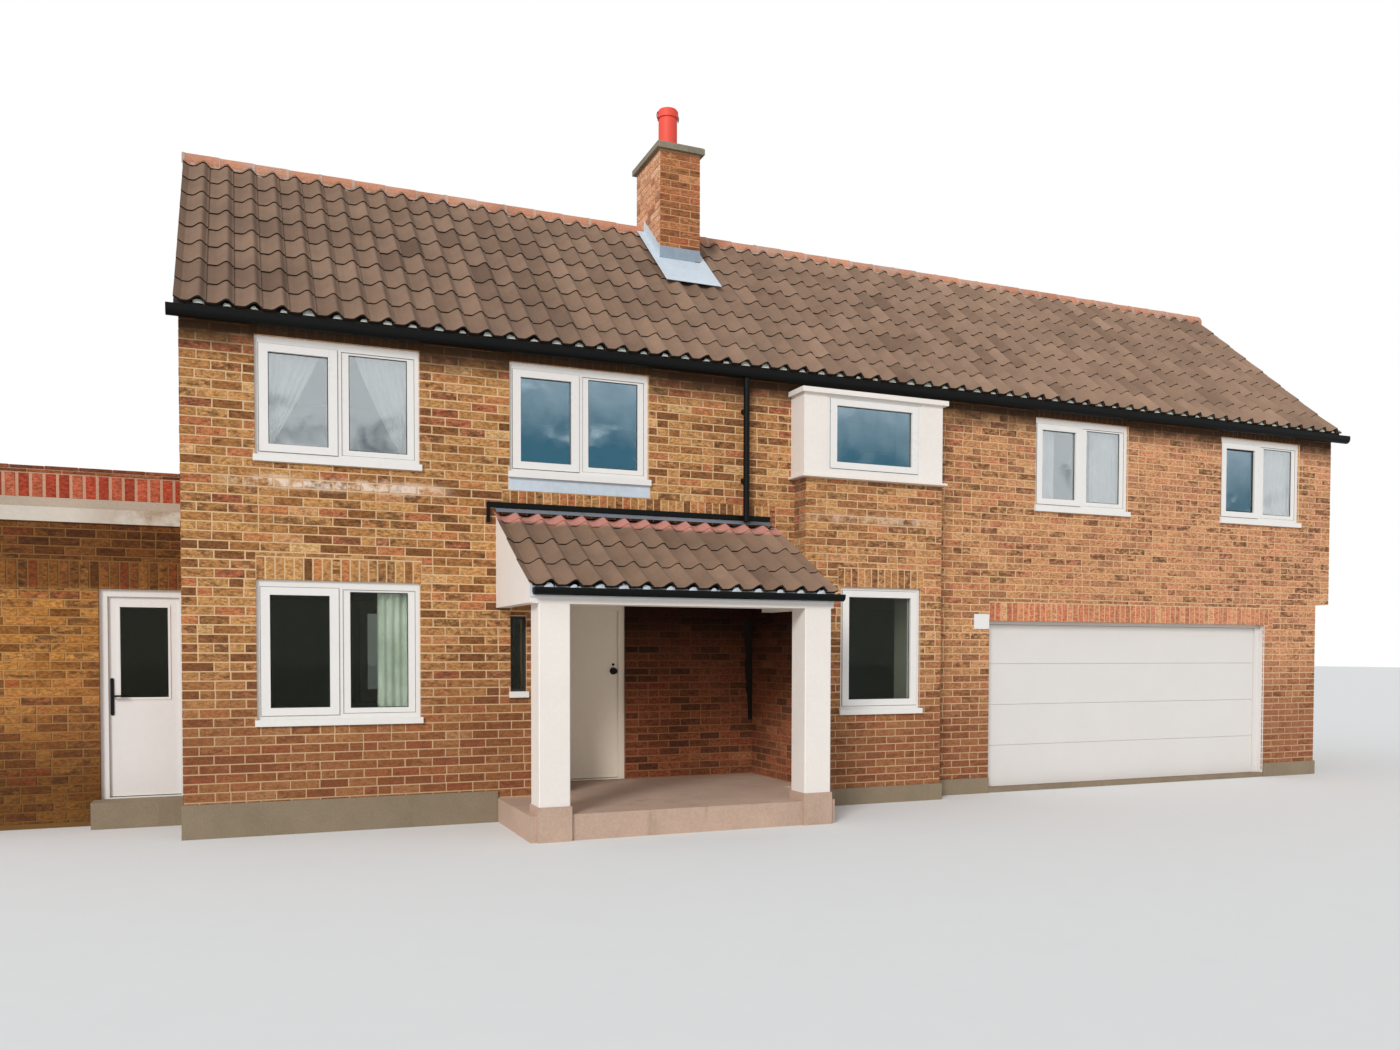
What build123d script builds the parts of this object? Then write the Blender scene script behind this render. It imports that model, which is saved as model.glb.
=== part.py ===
from build123d import *
import os

os.makedirs("parts", exist_ok=True)

# All sizes are in millimetres. While building, X runs along the front from the left
# corner, Y runs back from the main front face and Z is zero at the left corner's ground.
# Every piece is moved to the shared frame when it is written out.

# Main block, from left to right: front room, door recess, bay, pier, garage, pier
left_room_w = 3450.0
recess_w = 2785.0
bay_w = 1785.0
pier_left_w = 900.0
garage_w = 4668.0
pier_right_w = 992.0
gable_overhang = 260.0
depth = 4940.0
wall = 280.0
ground_drop = 130.0
storey_z = 2280.0
floor_top_z = 110.0
garage_floor_z = -70.0
upper_floor_thick = 200.0
plinth_out = 20.0
plinth_top_left_z = 185.0
plinth_top_right_z = 60.0

# Main roof
eaves_out = 100.0
eaves_top_z = 4705.0
ridge_z = 6983.0
lip_v = 30.0
roof_thick_v = 165.0
verge_out = 38.0
ridge_tile_r = 125.0
ridge_half = 108.0
ridge_sink = 60.0
fascia_depth = 45.0
fascia_bottom_z = 4596.0
fascia_top_z = 4712.0

# Wavy tiles: heights are plumb ones, the crest and trough widths are shares of the pitch
tile_pitch = 235.0
tile_v = 27.0
roll_v = 56.0
eaves_tile_out = 118.0
first_crest = 206.0
crest_half = 0.05
fall_end = 0.27
rise_start = 0.42

# Gutters and pipes
gutter_w = 112.0
gutter_h = 100.0
gutter_wall = 4.0
gutter_top_z = 4668.0
gutter_left_out = 100.0
gutter_right_out = 190.0
pipe_d = 68.0
pipe_wall = 4.0
pipe_in = 645.0
back_pipe_in = 940.0
pipe_clip_low = 450.0
pipe_clip_high = 350.0
pipe_foot = 40.0
pipe_hem = 10.0
clip_w = 44.0

# Windows
frame_w = 45.0
frame_head = 77.0
frame_depth = 70.0
frame_set_in = 28.0
sash_w = 74.0
sash_rail = 64.0
sash_proud = 12.0
sash_lap = 8.0
bead_w = 68.0
bead_top = 21.0
bead_foot = 53.0
bead_back = 10.0
sill_h = 60.0
sill_out = 35.0
sill_horn = 18.0
pane_thick = 12.0
pane_back = 22.0
upper_sill_z = 3349.0
window_h = 1161.0
lower_sill_z = 888.0
lower_window_h = 1370.0
window_w = 1492.0
corner_to_window = 624.0
window_past_room = 1044.0
garage_to_window = 682.0
bay_window_in = 445.0
bay_window_w = 1058.0
bay_window_h = 1434.0
hall_win_in = 444.0
hall_win_w = 164.0
hall_win_z = 1126.0
hall_win_h = 824.0
hall_edge = 20.0
back_win_in = 2000.0

# Recess and front door
recess_y = 1080.0
recess_ceiling_z = 2150.0
ceiling_thick = 20.0
door_in = 195.0
door_open_w = 960.0
door_jamb = 60.0
door_set_in = 40.0
door_gap = 8.0
door_thick = 44.0
door_bottom_z = 134.0
door_head_z = 2138.0
stop_w = 14.0
knob_z = 1368.0
keyhole_z = 1442.0
hinge_r = 7.0
knuckle = 30.0
hinge_out = 10.0
hinge_side = 2.5
hinge_play = 0.3
frame_flap = 11.0
leaf_flap = 14.0
knob_in = 69.0
knob_rose_r = 42.0
knob_rose_thick = 6.0
knob_neck_r = 12.0
knob_reach = 34.0
knob_ball_r = 33.0
knob_ball_thick = 28.0
lock_r = 15.0
lock_thick = 8.0
door_rebate = 18.0
door_frame_depth = 75.0
hinge_low = 240.0
hinge_high = 200.0

# Porch
porch_front_y = -1375.0
column_w = 292.0
column_left_in = 506.0
column_right_in = 595.0
column_chamfer = 8.0
base_h = 80.0
base_grow = 12.0
porch_edge = 60.0
porch_floor_z = 110.0
porch_floor_back = 20.0
side_fill_back = 30.0
beam_bottom_z = 2025.0
side_beam_w = 100.0
cheek_out = 84.0
cheek_thick = 26.0
cheek_bottom_z = 2030.0
porch_verge_left = 25.0
porch_verge_right = 38.0
porch_top_z = 2970.0
porch_eaves_z = 2192.0
porch_roof_v = 75.0
porch_board = 18.0
porch_board_z = 2085.0
porch_tile_out = 42.0
porch_tile_top_y = -40.0
porch_pitch = 229.5
porch_tile_v = 23.0
porch_roll_v = 50.0
porch_gutter_left = 20.0
porch_gutter_right = 57.0
porch_gutter_top_z = 2164.0
porch_gutter_w = 100.0
porch_gutter_h = 68.0
strip_h = 53.0
strip_lift = 65.0
strip_thick = 34.0
strip_left_out = 70.0
strip_right_in = 58.0
strip_end_w = 30.0
strip_left_drop = 82.0
porch_apron_out = 110.0
lead = 5.0
apron_drop = 130.0
apron_side = 10.0

# Bay
bay_depth_out = 270.0
bay_box_left_out = 48.0
bay_box_right_in = 22.0
bay_box_out = 310.0
bay_box_bottom_z = 3518.0
bay_box_h = 972.0
bay_box_win_in = 293.0
bay_box_win_w = 1220.0
bay_box_win_up = 75.0
bay_box_win_h = 840.0
bay_box_win_proud = 20.0
bay_box_board = 45.0
skirt_h = 24.0
skirt_out = 44.0
cornice_h = 54.0
cornice_left = 35.0
cornice_right = 58.0
cornice_out = 40.0

# Garage
garage_head_z = 1980.0
lintel_bearing = 156.0
garage_jamb = 70.0
garage_head_board = 42.0
garage_set_in = 95.0
garage_frame_depth = 70.0
garage_door_thick = 42.0
garage_door_lap = 20.0
garage_door_slack = 4.0
garage_sections = 4
groove = 8.0
plaque_in = 8.0
plaque_w = 222.0
plaque_h = 180.0
plaque_z = 1877.0
plaque_thick = 12.0

# Chimney
stack_in = 951.0
stack_w = 528.0
stack_front = 710.0
stack_d = 840.0
stack_top_z = 7761.0
cap_out = 50.0
cap_thick = 84.0
pot_r = 118.0
pot_h = 600.0
flue_r = 90.0
flue_up = 900.0
cap_chamfer = 18.0
pot_rim_h = 85.0
pot_rim_out = 14.0
pot_lip_h = 20.0
apron_run = 480.0
flash_out = 95.0
flash_back = 140.0
upstand_h = 150.0

# Side wing
wing_w = 2250.0
wing_y = 1230.0
wing_wall_top_z = 2835.0
wing_board_h = 138.0
wing_board_thick = 25.0
wing_band_h = 90.0
wing_band_out = 12.0
wing_coping_h = 299.0
wing_coping_w = 215.0
wing_floor_z = 110.0
side_open_w = 790.0
side_head_z = 2200.0
side_jamb = 60.0
side_stile = 121.0
side_glass_z = 1126.0
side_glass_top = 115.0
side_lever_z = 1143.0
side_lever_in = 45.0
side_set_in = 35.0
side_sill_h = 20.0
side_bead_w = 22.0
side_bead_out = 8.0
side_pane_back = 10.0
plate_w = 32.0
plate_below = 193.0
plate_above = 177.0
plate_thick = 10.0
plate_fillet = 14.0
lever_gap = 0.3
lever_reach = 40.0
lever_r = 11.0
lever_len = 115.0
lever_w = 18.0
lever_grip = 12.0
lever_bite = 4.0
step_side = 60.0
step_out = 280.0
step_z = 125.0

# Sizes worked out from the ones above
ground_z = -ground_drop
recess_x = (left_room_w, left_room_w + recess_w)
bay_x = (recess_x[1], recess_x[1] + bay_w)
garage_x = (bay_x[1] + pier_left_w, bay_x[1] + pier_left_w + garage_w)
length_low = garage_x[1] + pier_right_w
length = length_low + gable_overhang
mid_y = depth / 2
upper_head_z = upper_sill_z + window_h
lower_head_z = lower_sill_z + lower_window_h
win1_x = (corner_to_window, corner_to_window + window_w)
win2_x = (left_room_w + window_past_room - window_w, left_room_w + window_past_room)
win3_x = (garage_x[0] + garage_to_window, garage_x[0] + garage_to_window + window_w)
win4_x = (length - corner_to_window - window_w, length - corner_to_window)
win5_x = win1_x
win6_x = (bay_x[0] + bay_window_in, bay_x[0] + bay_window_in + bay_window_w)
win6_head_z = lower_sill_z + bay_window_h
hall_win_x = (left_room_w - hall_win_in, left_room_w - hall_win_in + hall_win_w)
back_starts = (back_win_in, (length - window_w) / 2, length - back_win_in - window_w)
back_win_x = [(start, start + window_w) for start in back_starts]
door_open_x = (recess_x[0] + door_in, recess_x[0] + door_in + door_open_w)
column_left_x = recess_x[0] - column_left_in
column_right_x = recess_x[1] - column_right_in
column_base_z = porch_floor_z + base_h
cheek_x = (column_left_x - cheek_out, column_right_x + column_w)
porch_tile_x = (cheek_x[0] - porch_verge_left, cheek_x[1] + porch_verge_right)
porch_gutter_x = (cheek_x[0] + porch_gutter_left, porch_tile_x[1] + porch_gutter_right)
porch_board_y = porch_front_y - porch_board
porch_edge_x = (column_left_x - base_grow - porch_edge, column_right_x + column_w + porch_edge)
pipe_x = recess_x[1] - pipe_in
bay_box_x = (bay_x[0] - bay_box_left_out, bay_x[1] - bay_box_right_in)
bay_box_z = (bay_box_bottom_z, bay_box_bottom_z + bay_box_h)
bay_box_win_x = (bay_box_x[0] + bay_box_win_in, bay_box_x[0] + bay_box_win_in + bay_box_win_w)
bay_box_win_z = (bay_box_z[0] + bay_box_win_up, bay_box_z[0] + bay_box_win_up + bay_box_win_h)
stack_x = (recess_x[1] - stack_in, recess_x[1] - stack_in + stack_w)
stack_y = (mid_y - stack_front, mid_y - stack_front + stack_d)
wing_left_x = -wing_w
wing_board_top_z = wing_wall_top_z + wing_board_h
wing_band_top_z = wing_board_top_z + wing_band_h
wing_coping_top_z = wing_band_top_z + wing_coping_h
side_open_x = -side_open_w
side_leaf_x = (side_open_x + side_jamb, -side_jamb)
side_leaf_top = side_head_z - side_jamb
side_glass_x = (side_leaf_x[0] + side_stile, side_leaf_x[1] - side_stile)
side_glass_zz = (side_glass_z, side_leaf_top - side_glass_top)
side_lever_x = side_leaf_x[0] + side_lever_in
step_x = side_open_x - step_side
step_y = wing_y - step_out
clear = 500.0
sky_z = stack_top_z + 2 * clear
slope = (ridge_z - eaves_top_z) / (mid_y + eaves_out)
eaves_wall_z = eaves_top_z + slope * eaves_out - roof_thick_v
upper_floor_top_z = storey_z + upper_floor_thick
porch_slope = (porch_top_z - porch_eaves_z) / -porch_front_y
to_frame = Pos(-length / 2, -mid_y, ground_drop)


def block(x0, x1, y0, y1, z0, z1):
    return Pos((x0 + x1) / 2, (y0 + y1) / 2, (z0 + z1) / 2) * Box(x1 - x0, y1 - y0, z1 - z0)


def prism_x(points, x0, x1):
    """Solid with a side outline given as (y, z) points, running along X."""
    face = make_face(Polyline(*[(x0, y, z) for y, z in points], close=True))
    return extrude(face, amount=x1 - x0, dir=(1, 0, 0))


def save(name, solids):
    items = solids if isinstance(solids, list) else [solids]
    moved = [to_frame * solid for item in items for solid in item.solids()]
    shape = moved[0] if len(moved) == 1 else Compound(children=moved)
    export_step(shape, f"parts/{name}.step")


def mirror_back(shape):
    """The same piece on the back wall."""
    return mirror(shape, about=Plane.XZ.offset(-mid_y))


def roof_top_at(y):
    return eaves_top_z + slope * (min(y, depth - y) + eaves_out)


def crest_top_at(y):
    return roof_top_at(y) + tile_v + roll_v


def porch_top_at(y):
    return porch_top_z + porch_slope * y


def porch_crest_at(y):
    return porch_top_at(y) + porch_tile_v + porch_roll_v


def tile_layer(x0, x1, low, high, pitch, thick, roll):
    """Wavy tiles, hollow under their rolls, on the slope between two (y, z) points."""
    top = [(x0, thick)]
    crest = x0 + first_crest
    while crest + pitch * fall_end < x1:
        top.append((crest - pitch * rise_start, thick))
        top.append((crest - pitch * crest_half, thick + roll))
        top.append((crest + pitch * crest_half, thick + roll))
        top.append((crest + pitch * fall_end, thick))
        crest += pitch
    top.append((x1, thick))
    under = [(x, up - thick) for x, up in reversed(top)]
    y, z = low
    face = make_face(Polyline(*[(x, y, z + up) for x, up in top + under], close=True))
    run = Vector(0, high[0] - y, high[1] - z)
    return extrude(face, amount=run.length, dir=run.normalized())


def window(x0, x1, z0, z1, face_y, lights, sashes, head=frame_w, edge=frame_w, bead=bead_w, sill=sill_h):
    """One plastic window: frame, mullions, sill, opening sashes or fixed beads, and its panes."""
    y0 = face_y + frame_set_in
    y1 = y0 + frame_depth
    frame = block(x0, x1, y0, y1, z0, z1)
    if sill:
        frame += block(x0 - sill_horn, x1 + sill_horn, face_y - sill_out, face_y, z0, z0 + sill)
        frame += block(x0, x1, face_y, y0, z0, z0 + sill)
    panes = []
    clear_x = (x1 - x0 - edge * (lights + 1)) / lights
    for i in range(lights):
        a = x0 + edge + i * (clear_x + edge)
        b = a + clear_x
        c = z0 + sill + edge
        d = z1 - head
        frame -= block(a, b, y0 - 1, y1 + 1, c, d)
        if i in sashes:
            hole = (a + sash_w, b - sash_w, c + sash_rail, d - sash_rail)
            ring = block(a, b, y0, y1, c, d)
            ring += block(a - sash_lap, b + sash_lap, y0 - sash_proud, y0, c - sash_lap, d + sash_lap)
        elif bead:
            hole = (a + bead, b - bead, c + bead_foot, d - bead_top)
            ring = block(a, b, y0 + bead_back, y1, c, d)
        else:
            hole = (a, b, c, d)
            ring = []
        frame += ring
        frame -= block(hole[0], hole[1], y0 - sash_proud - 1, y1 + 1, hole[2], hole[3])
        panes.append(block(hole[0], hole[1], y0 + pane_back, y0 + pane_back + pane_thick, hole[2], hole[3]))
    return frame, panes


def gutter(x0, x1, back_y, top_z, width, height):
    """Half-round gutter on straight lips, with closed ends; back_y is its back edge."""
    r = width / 2
    mid = back_y - r

    def profile(inset):
        rr = r - inset
        low = top_z - height + r
        start = (x0 + inset, mid - rr, top_z)
        front_low = (x0 + inset, mid - rr, low)
        back_low = (x0 + inset, mid + rr, low)
        arc = ThreePointArc(front_low, (x0 + inset, mid, low - rr), back_low)
        edge = Polyline(start, front_low) + arc + Polyline(back_low, (x0 + inset, mid + rr, top_z), start)
        return extrude(make_face(edge), amount=x1 - x0 - 2 * inset, dir=(1, 0, 0))

    trough = profile(gutter_wall)
    return profile(0.0) - trough


def pipe(x, y, z0, z1, wall_y):
    """Round pipe with lugs back to the wall."""
    mid = Pos(x, y, (z0 + z1) / 2)
    tube = mid * Cylinder(pipe_d / 2, z1 - z0)
    near, far = sorted((y, wall_y))
    for z in (z0 + pipe_clip_low, z1 - pipe_clip_high):
        tube += block(x - clip_w / 2, x + clip_w / 2, near, far, z - clip_w / 2, z + clip_w / 2)
    return tube - mid * Cylinder(pipe_d / 2 - pipe_wall, z1 - z0 + 2)


def hinge(x, y, z, side, frame_y, leaf_y):
    """Lift-off hinge round a standing axis: the leaf's knuckle stands on the frame's."""
    barrel = Cylinder(hinge_r, knuckle - 2 * hinge_play)
    half = knuckle / 2 - hinge_play
    x0, x1 = sorted((x, x - side * frame_flap))
    on_frame = Pos(x, y, z) * barrel + block(x0, x1, frame_y, y, z - half, z + half)
    x0, x1 = sorted((x, x + side * leaf_flap))
    up = z + knuckle
    on_leaf = Pos(x, y, up) * barrel + block(x0, x1, leaf_y, y, up - half, up + half)
    return on_frame, on_leaf


# Ground storey walls
left_room = block(0, recess_x[0], 0, wall, ground_z, storey_z)
left_room -= block(win5_x[0], win5_x[1], -1, wall + 1, lower_sill_z, lower_head_z)
left_room -= block(hall_win_x[0], hall_win_x[1], -1, wall + 1, hall_win_z, hall_win_z + hall_win_h)

recess_side = block(recess_x[0] - wall, recess_x[0], wall, recess_y + wall, ground_z, storey_z)

back_left = block(recess_x[0], door_open_x[0], recess_y, recess_y + wall, ground_z, storey_z)
back_right = block(door_open_x[1], recess_x[1], recess_y, recess_y + wall, ground_z, storey_z)
save("recess_back_wall", [back_left, back_right])
door_head = block(door_open_x[0], door_open_x[1], recess_y, recess_y + wall, door_head_z, storey_z)
lintel_z = recess_ceiling_z + ceiling_thick
recess_lintel = block(recess_x[0], recess_x[1], 0, wall, lintel_z, storey_z)

bay_in = (bay_x[0] + wall, bay_x[1] - wall)
bay_front = block(bay_x[0], bay_x[1], -bay_depth_out, 0, ground_z, bay_box_z[0])
bay_front -= block(win6_x[0], win6_x[1], -bay_depth_out - 1, 1, lower_sill_z, win6_head_z)
save("bay_front_wall", bay_front)
bay_side = block(bay_x[0], bay_in[0], wall, recess_y + wall, ground_z, storey_z)
save("recess_side_walls", [recess_side, bay_side])

bearing_x = garage_x[1] + lintel_bearing
pier_left = block(bay_x[1], garage_x[0], 0, wall, ground_z, storey_z)
pier_right = block(garage_x[1], length_low, 0, wall, ground_z, storey_z)
pier_right -= block(garage_x[1] - 1, bearing_x, -1, wall + 1, garage_head_z, storey_z + 1)
save("front_wall_ground", [left_room, pier_left, pier_right])
garage_lintel = block(garage_x[0], bearing_x, 0, wall, garage_head_z, storey_z)

left_low = block(0, wall, wall, depth - wall, ground_z, storey_z)
right_low = block(length_low - wall, length_low, wall, depth - wall, ground_z, storey_z)
back_low = block(0, length_low, depth - wall, depth, ground_z, storey_z)
for a, b in back_win_x[:2]:
    back_low -= block(a, b, depth - wall - 1, depth + 1, lower_sill_z, lower_head_z)

# Upper storey walls, cut to the slope of the roof
void_low_z = eaves_wall_z - clear * slope
void_points = [
    (-clear, void_low_z),
    (mid_y, eaves_wall_z + mid_y * slope),
    (depth + clear, void_low_z),
    (depth + clear, sky_z),
    (-clear, sky_z),
]
roof_void = prism_x(void_points, -clear, length + clear)


def upper_wall(x0, x1, y0, y1):
    return block(x0, x1, y0, y1, storey_z, ridge_z) - roof_void


upper_left = upper_wall(0, bay_x[0], 0, wall)
for a, b in (win1_x, win2_x):
    upper_left -= block(a, b, -1, wall + 1, upper_sill_z, upper_head_z)

bay_jambs = []
for a, b in ((bay_x[0], bay_in[0]), (bay_in[1], bay_x[1])):
    bay_jambs.append(block(a, b, 0, wall, ground_z, ridge_z) - roof_void)
save("bay_jambs", bay_jambs)
bay_head = block(bay_in[0], bay_in[1], 0, wall, bay_box_z[1], ridge_z) - roof_void
save("lintels", [garage_lintel, door_head, recess_lintel, bay_head])

upper_right = upper_wall(bay_x[1], length, 0, wall)
for a, b in (win3_x, win4_x):
    upper_right -= block(a, b, -1, wall + 1, upper_sill_z, upper_head_z)
save("front_wall_upper", [upper_left, upper_right])

back_up = upper_wall(0, length, depth - wall, depth)
for a, b in back_win_x:
    back_up -= block(a, b, depth - wall - 1, depth + 1, upper_sill_z, upper_head_z)
save("back_wall", back_low + back_up)
left_gable = upper_wall(0, wall, wall, depth - wall)
right_gable = upper_wall(length - wall, length, wall, depth - wall)
save("gable_walls", [left_low + left_gable, right_low + right_gable])

# Floors
stack_hole = block(stack_x[0], stack_x[1], stack_y[0], stack_y[1], ground_z - 1, sky_z)
inside_y = depth - wall
floor_edge_x = bay_x[1] + pier_left_w / 2
floor = block(wall, floor_edge_x, wall, inside_y, ground_z, floor_top_z)
recess_all = (recess_x[0] - wall, recess_x[1] + wall)
floor -= block(recess_all[0], recess_all[1], wall - 1, recess_y + wall, ground_z - 1, floor_top_z + 1)
garage_floor = block(floor_edge_x, length_low - wall, wall, inside_y, ground_z, garage_floor_z)
garage_floor += block(garage_x[0], garage_x[1], 0, wall, ground_z, garage_floor_z)
bay_floor = block(bay_in[0], bay_in[1], 0, wall, ground_z, floor_top_z)
save("ground_floor", floor - stack_hole + garage_floor + bay_floor)
upper_floor = block(wall, length - wall, wall, inside_y, storey_z, upper_floor_top_z)
upper_floor += block(bay_in[0], bay_in[1], 0, wall, storey_z, upper_floor_top_z)
save("upper_floor", upper_floor - stack_hole)

# Plinth: a thin rendered band round the foot of the walls
def footprint(grow, z1):
    shape = block(-grow, length_low + grow, -grow, depth + grow, ground_z, z1)
    shape += block(bay_x[0] - grow, bay_x[1] + grow, -bay_depth_out - grow, 0, ground_z, z1)
    return shape


band = footprint(plinth_out, plinth_top_left_z) - footprint(0, plinth_top_left_z)
low_z = ground_z - 1
high_z = plinth_top_left_z + 1
right_of_porch = bay_x[0] - 2 * plinth_out
band -= block(right_of_porch, length + clear, -clear, depth - wall, plinth_top_right_z, high_z)
band -= block(porch_edge_x[0], bay_x[0], -clear, wall, low_z, high_z)
band -= block(garage_x[0], garage_x[1], -clear, wall, low_z, high_z)
band -= block(-clear, 0, step_y, depth + clear, low_z, high_z)
save("plinth", band.solids())

# Roof
def roof_slope():
    pts = [
        (-eaves_out, eaves_top_z),
        (mid_y, ridge_z),
        (mid_y, ridge_z - roof_thick_v),
        (0, eaves_wall_z),
        (0, roof_top_at(0) - lip_v),
        (-eaves_out, eaves_top_z - lip_v),
    ]
    return prism_x(pts, -verge_out, length + verge_out)


front_slope = roof_slope()
save("roof_front", front_slope - stack_hole)
save("roof_back", mirror_back(front_slope) - stack_hole)
tile_x = (-verge_out, length + verge_out)
tile_low = (-eaves_tile_out, eaves_top_z - slope * (eaves_tile_out - eaves_out))
tile_high = (mid_y - ridge_half, roof_top_at(mid_y - ridge_half))
main_tiles = tile_layer(tile_x[0], tile_x[1], tile_low, tile_high, tile_pitch, tile_v, roll_v)
save("main_tiles_front", main_tiles - stack_hole)
save("main_tiles_back", mirror_back(main_tiles) - stack_hole)

# Ridge tiles: a half-round bar over the gap between the two tile layers
ridge_edge_z = ridge_z - ridge_sink + (ridge_tile_r**2 - ridge_half**2) ** 0.5
ridge_front = (tile_x[0], mid_y - ridge_half, ridge_edge_z)
ridge_back = (tile_x[0], mid_y + ridge_half, ridge_edge_z)
ridge_arc = ThreePointArc(ridge_front, (tile_x[0], mid_y, ridge_z - ridge_sink + ridge_tile_r), ridge_back)
ridge_low = Polyline(
    ridge_back,
    (tile_x[0], mid_y + ridge_half, tile_high[1]),
    (tile_x[0], mid_y, ridge_z),
    (tile_x[0], mid_y - ridge_half, tile_high[1]),
    ridge_front,
)
ridge = extrude(make_face(ridge_arc + ridge_low), amount=tile_x[1] - tile_x[0], dir=(1, 0, 0))
save("ridge_tiles", (ridge - stack_hole).solids())
fascia_front = block(-verge_out, length + verge_out, -fascia_depth, 0, fascia_bottom_z, fascia_top_z)
save("fascia_boards", [fascia_front, mirror_back(fascia_front)])

gutter_x = (-gutter_left_out, length + gutter_right_out)
front_gutter = gutter(gutter_x[0], gutter_x[1], -fascia_depth, gutter_top_z, gutter_w, gutter_h)
gutter_mid_y = -fascia_depth - gutter_w / 2
gutter_low_z = gutter_top_z - gutter_h
pipe_low_z = porch_crest_at(gutter_mid_y + pipe_d / 2) + pipe_hem
front_pipe = pipe(pipe_x, gutter_mid_y, pipe_low_z, gutter_low_z, 0)
back_pipe = mirror_back(pipe(length - back_pipe_in, gutter_mid_y, ground_z + pipe_foot, gutter_low_z, 0))
save("downpipes", [front_pipe, back_pipe])

# Chimney
stack = block(stack_x[0], stack_x[1], stack_y[0], stack_y[1], ground_z, stack_top_z)
stack_mid = ((stack_x[0] + stack_x[1]) / 2, (stack_y[0] + stack_y[1]) / 2)
flue_low_z = floor_top_z + flue_up
flue = Cylinder(flue_r, stack_top_z - flue_low_z, align=(Align.CENTER, Align.CENTER, Align.MIN))
stack -= Pos(stack_mid[0], stack_mid[1], flue_low_z) * flue
save("chimney_stack", stack)
cap_x = (stack_x[0] - cap_out, stack_x[1] + cap_out)
cap_y = (stack_y[0] - cap_out, stack_y[1] + cap_out)
cap = block(cap_x[0], cap_x[1], cap_y[0], cap_y[1], stack_top_z, stack_top_z + cap_thick)
cap = chamfer(cap.edges().group_by(Axis.Z)[-1], cap_chamfer)
cap -= Pos(stack_mid[0], stack_mid[1], stack_top_z + cap_thick / 2) * Cylinder(flue_r, cap_thick + 2)
save("chimney_cap", cap)
pot_outline = [
    (flue_r, 0),
    (pot_r, 0),
    (pot_r, pot_h - pot_rim_h - pot_lip_h),
    (pot_r + pot_rim_out, pot_h - pot_rim_h - pot_lip_h),
    (pot_r + pot_rim_out, pot_h - pot_lip_h),
    (pot_r, pot_h - pot_lip_h),
    (pot_r, pot_h),
    (flue_r, pot_h),
]
pot_face = make_face(Polyline(*[(r, 0, z) for r, z in pot_outline], close=True))
pot = revolve(pot_face, axis=Axis.Z)
save("chimney_pot", Pos(stack_mid[0], stack_mid[1], stack_top_z + cap_thick) * pot)

# Lead sheet dressed over the tile crests in front of the stack and beside it
flash_back_y = mid_y - flash_back
flash_face_y = stack_y[0] - lead


def lead_sheet(y0, y1, height, side):
    low = [(y, crest_top_at(y)) for y in (y0, y1)]
    high = [(y, crest_top_at(y) + height) for y in (y1, y0)]
    return prism_x(low + high, stack_x[0] - side, stack_x[1] + side)


flashing = lead_sheet(stack_y[0] - apron_run, stack_y[0], lead, flash_out)
flashing += lead_sheet(flash_face_y, flash_back_y, lead, flash_out)
flashing += lead_sheet(flash_face_y, flash_back_y, upstand_h, lead)
save("chimney_flashing", flashing - stack_hole)

# Windows
upper_frames = []
upper_panes = []
for a, b in (win1_x, win2_x, win3_x, win4_x):
    made = window(a, b, upper_sill_z, upper_head_z, 0, 2, (0,), head=frame_head)
    upper_frames.append(made[0])
    upper_panes += made[1]

hall_head_z = hall_win_z + hall_win_h
lower = [
    window(win5_x[0], win5_x[1], lower_sill_z, lower_head_z, 0, 2, (0,), head=frame_head),
    window(win6_x[0], win6_x[1], lower_sill_z, win6_head_z, -bay_depth_out, 1, (0,)),
    window(hall_win_x[0], hall_win_x[1], hall_win_z, hall_head_z, 0, 1, (), hall_edge, hall_edge, bead=0),
]
lower_frames = [made[0] for made in lower]
lower_panes = [pane for made in lower for pane in made[1]]

back_frames = []
back_panes = []
for a, b in back_win_x:
    made = window(a, b, upper_sill_z, upper_head_z, 0, 2, (0,), head=frame_head)
    back_frames.append(mirror_back(made[0]))
    back_panes += [mirror_back(pane) for pane in made[1]]
for a, b in back_win_x[:2]:
    made = window(a, b, lower_sill_z, lower_head_z, 0, 2, (0,), head=frame_head)
    back_frames.append(mirror_back(made[0]))
    back_panes += [mirror_back(pane) for pane in made[1]]
save("window_frames_back", back_frames)
save("window_glass_back", back_panes)

# Panelled box with a window on top of the bay
box_y = -bay_box_out
box = block(bay_box_x[0], bay_box_x[1], box_y, 0, bay_box_z[0], bay_box_z[1])
skirt_x = (bay_box_x[0] - cornice_left, bay_box_x[1] + skirt_out)
box += block(skirt_x[0], skirt_x[1], box_y - skirt_out, 0, bay_box_z[0], bay_box_z[0] + skirt_h)
cornice_x = (bay_box_x[0] - cornice_left, bay_box_x[1] + cornice_right)
box += block(cornice_x[0], cornice_x[1], box_y - cornice_out, 0, bay_box_z[1] - cornice_h, bay_box_z[1])
hollow_x = (bay_box_x[0] + bay_box_board, bay_box_x[1] - bay_box_board)
hollow_z = (bay_box_z[0] + skirt_h, bay_box_z[1] - cornice_h)
box -= block(hollow_x[0], hollow_x[1], box_y + bay_box_board, 1, hollow_z[0], hollow_z[1])
box -= block(bay_box_win_x[0], bay_box_win_x[1], box_y - 1, 0, bay_box_win_z[0], bay_box_win_z[1])
save("bay_box", box)
box_win_y = box_y - bay_box_win_proud
box_win = bay_box_win_x + bay_box_win_z
made = window(box_win[0], box_win[1], box_win[2], box_win[3], box_win_y, 1, (0,), sill=0)
save("window_frames_front", upper_frames + lower_frames + [made[0]])
save("window_glass_front", upper_panes + lower_panes + made[1])
window_apron_x = (win2_x[0] - apron_side, win2_x[1] + apron_side)
window_apron = block(window_apron_x[0], window_apron_x[1], -lead, 0, upper_sill_z - apron_drop, upper_sill_z)

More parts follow.
